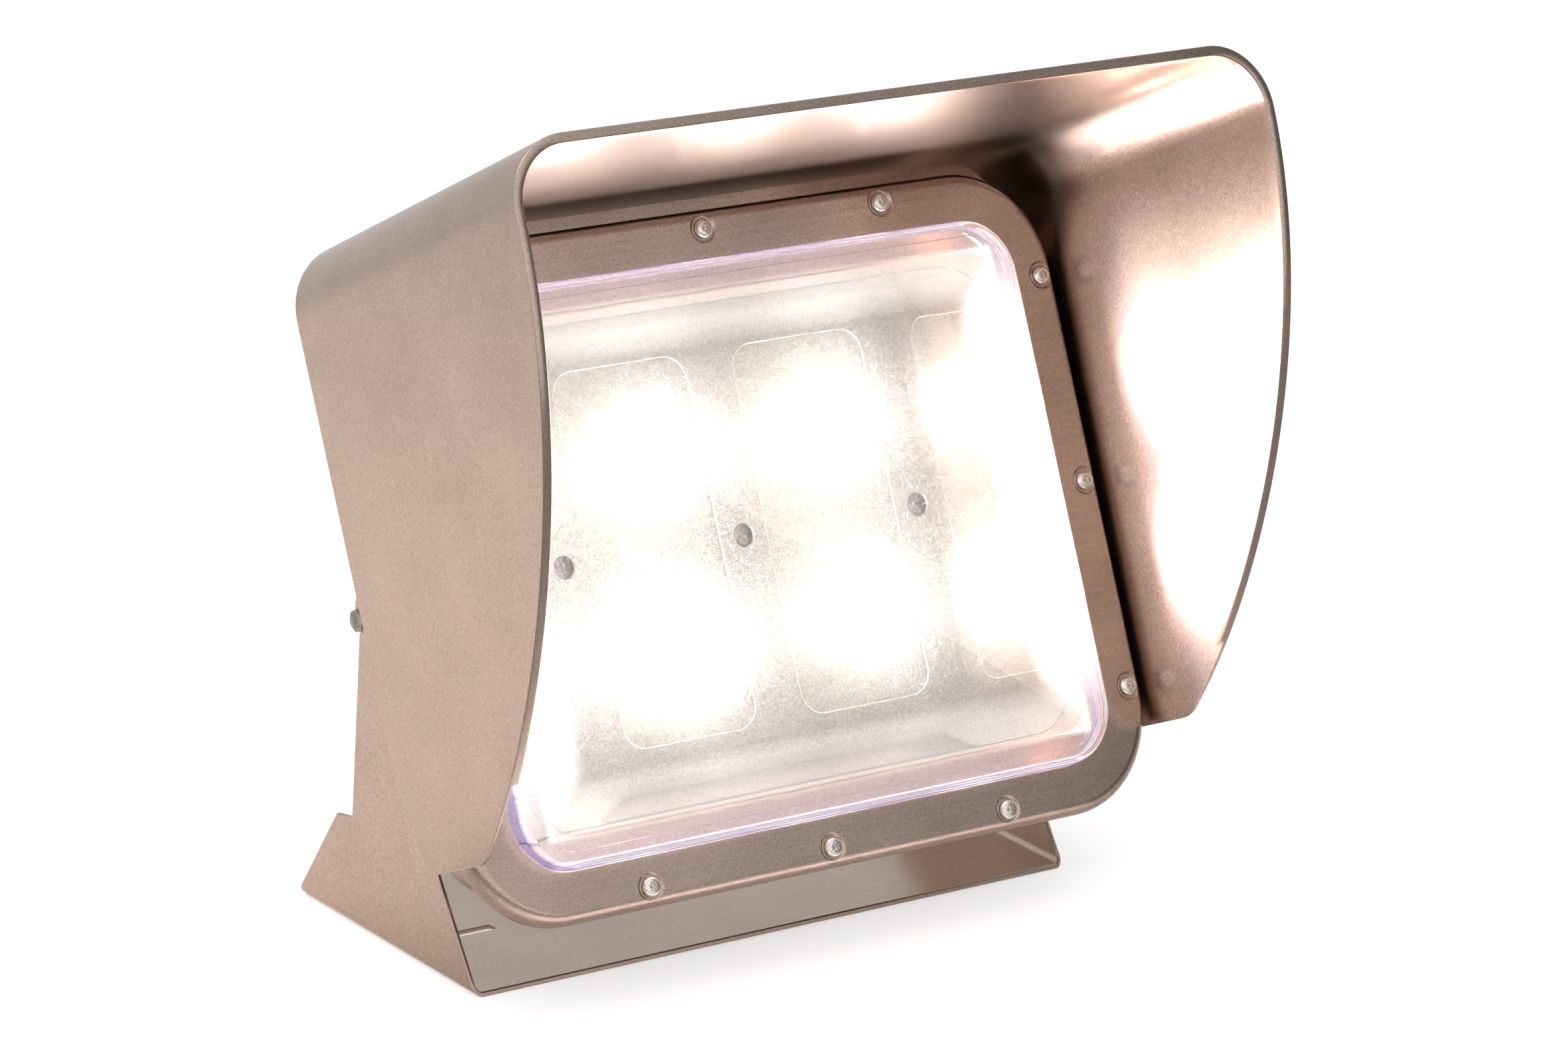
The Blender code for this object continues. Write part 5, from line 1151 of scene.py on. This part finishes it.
back = -FIRST_STEP_DEPTH - GAP
screw_across = half_width(-FIRST_STEP_DEPTH, 0.0) - SHEET - SCREW_INSET
low = -FLANGE_LOW
high = HOOD_TOP + RISE * back - SHEET / 2
beside = SECOND_STEP[0] / 2 + HOLLOW_ROUNDING + GAP
above = SECOND_STEP[1] / 2 + HOLLOW_ROUNDING + GAP
corner = SECOND_STEP[2] + HOLLOW_ROUNDING + GAP
bend = HOOD_BEND - SHEET / 2
widths = [half_width(back, y) - SHEET / 2 for y in (low, high)]
corners = [(widths[0], low, 0.0), (widths[1], high, bend), (-widths[1], high, bend), (-widths[0], low, 0.0)]
corners += [(-beside, low, 0.0), (-beside, above, corner), (beside, above, corner), (beside, low, 0.0)]
flange = plate("flange", [rounded_outline(corners, 16)], SHEET)
cut(hood, flange, in_head(z=back - SHEET / 2), operation="UNION")
screw_places = [(f"{word}_{level}", side * screw_across, rise * SCREW_UP)
                for side, word in ((-1, "left"), (1, "right"))
                for rise, level in ((-1, "lower"), (1, "upper"))]
for _, x, y in screw_places:
    hole = plate("screw hole", [circle(BEZEL_SCREW[2] + GAP, steps=24)], 0.006)
    cut(hood, hole, in_head(x, y, back - SHEET / 2))
stand_for(hood, "hood")
for words, x, y in screw_places:
    seat = in_head(x, y, back - SHEET - GAP) @ Matrix.Rotation(pi, 4, "X")
    drive_screw(f"Hood_screw_{words}", bezel_screw, seat)


# Studio: a pale floor that keeps the object's shadow, a white background, a soft world whose
# front dims towards the right, and one broad lamp from above. Mirrored in metal, the floor is
# a little warm, brightest near and behind the object and dim in front of it.
floor_paint, tree, shader, place = new_material("Pale studio floor", Roughness=0.9)
mottle = add_node(tree, "TexNoise", {"Vector": place, "Scale": 3.0})
colour = add_node(tree, "ValToRGB", {"Fac": mottle}, ramp=((0.0, "ECECEC"), (1.0, "F2F2F2")))
feed(tree, shader, {"Base Color": colour})
rays = add_node(tree, "LightPath", {})
seen = add_node(tree, "Math", {0: rays.outputs["Is Camera Ray"], 1: rays.outputs["Is Transmission Ray"]},
                operation="ADD")
away = add_node(tree, "VectorMath", {0: place}, operation="LENGTH")
fade = add_node(tree, "MapRange", {"Value": away.outputs["Value"], "From Min": 0.65, "From Max": 1.4,
                                   "To Min": 0.35, "To Max": 0.0})
behind = add_node(tree, "SeparateXYZ", {"Vector": place}).outputs["Y"]
behind = add_node(tree, "MapRange", {"Value": behind, "From Min": -0.3, "From Max": 0.1, "To Min": 0.1})
glossy = rays.outputs["Is Glossy Ray"]
mirrored = add_node(tree, "Math", {0: fade, 1: behind}, operation="MULTIPLY")
mirrored = add_node(tree, "Math", {0: mirrored, 1: glossy}, operation="MULTIPLY")
warm = add_node(tree, "Emission", {"Color": linear("FFDCC6"), "Strength": mirrored})
glow = add_node(tree, "Emission", {"Color": linear("FFFFFF"), "Strength": 0.45})
mix = add_node(tree, "MixShader", {0: seen, 1: warm, 2: glow})
both = add_node(tree, "AddShader", {0: shader, 1: mix})
ahead = add_node(tree, "Math", {0: 0.9, 1: behind}, operation="SUBTRACT", use_clamp=True)
ahead = add_node(tree, "Math", {0: ahead, 1: glossy}, operation="MULTIPLY")
dim = add_node(tree, "Emission", {"Color": linear("FFF4EC"), "Strength": 0.25})
both = add_node(tree, "MixShader", {0: ahead, 1: both, 2: dim})
feed(tree, tree.nodes["Material Output"], {"Surface": both})
slab = plate("floor", [circle(12.0, steps=96)], 0.02, lifted(-0.01))
floor = add_piece("Floor", slab, floor_paint)

world = bpy.data.worlds.new("Soft studio")
bpy.context.scene.world = world
world.use_nodes = True
tree = world.node_tree
way = add_node(tree, "TexCoord", {}).outputs["Generated"]
parts = add_node(tree, "SeparateXYZ", {"Vector": way})
front = add_node(tree, "MapRange", {"Value": parts.outputs["X"], "From Min": 0.53, "From Max": 0.61,
                                    "To Min": 1.1, "To Max": 0.15})
rear = add_node(tree, "MapRange", {"Value": parts.outputs["X"], "From Min": 0.5, "From Max": 0.7,
                                   "To Min": 0.8, "To Max": 0.62})
depth_way = add_node(tree, "MapRange", {"Value": parts.outputs["Y"], "From Min": -0.5, "From Max": 0.3})
level = add_node(tree, "Mix", {0: depth_way, 2: front, 3: rear})
seen = add_node(tree, "LightPath", {}).outputs["Is Camera Ray"]
strength = add_node(tree, "Mix", {0: seen, 2: level, 3: 1.0})
feed(tree, tree.nodes["Background"], {"Color": linear("FFFFFF"), "Strength": strength})

lamp = bpy.data.lights.new("Overhead softbox", "AREA")
lamp.energy = 14.0
lamp.size = 1.6
softbox = new_object("Overhead softbox", lamp)
softbox.location = (-0.8, 0.6, 2.4)
softbox.rotation_euler = (Vector((0.0, 0.0, 0.2)) - softbox.location).to_track_quat("-Z", "Y").to_euler()

# Camera at the photograph's place, solved from the bezel's outline and screws.
lens_data = bpy.data.cameras.new("Camera")
lens_data.lens = 152.54
lens_data.sensor_width = 36.0
lens_data.clip_end = 50.0
camera = new_object("Camera", lens_data)
camera.location = (-1.82850, -2.40628, 1.17754)
camera.rotation_euler = (radians(71.8075), radians(-3.2967), radians(-36.8389))
bpy.context.scene.camera = camera
bpy.context.scene.view_settings.view_transform = "Standard"
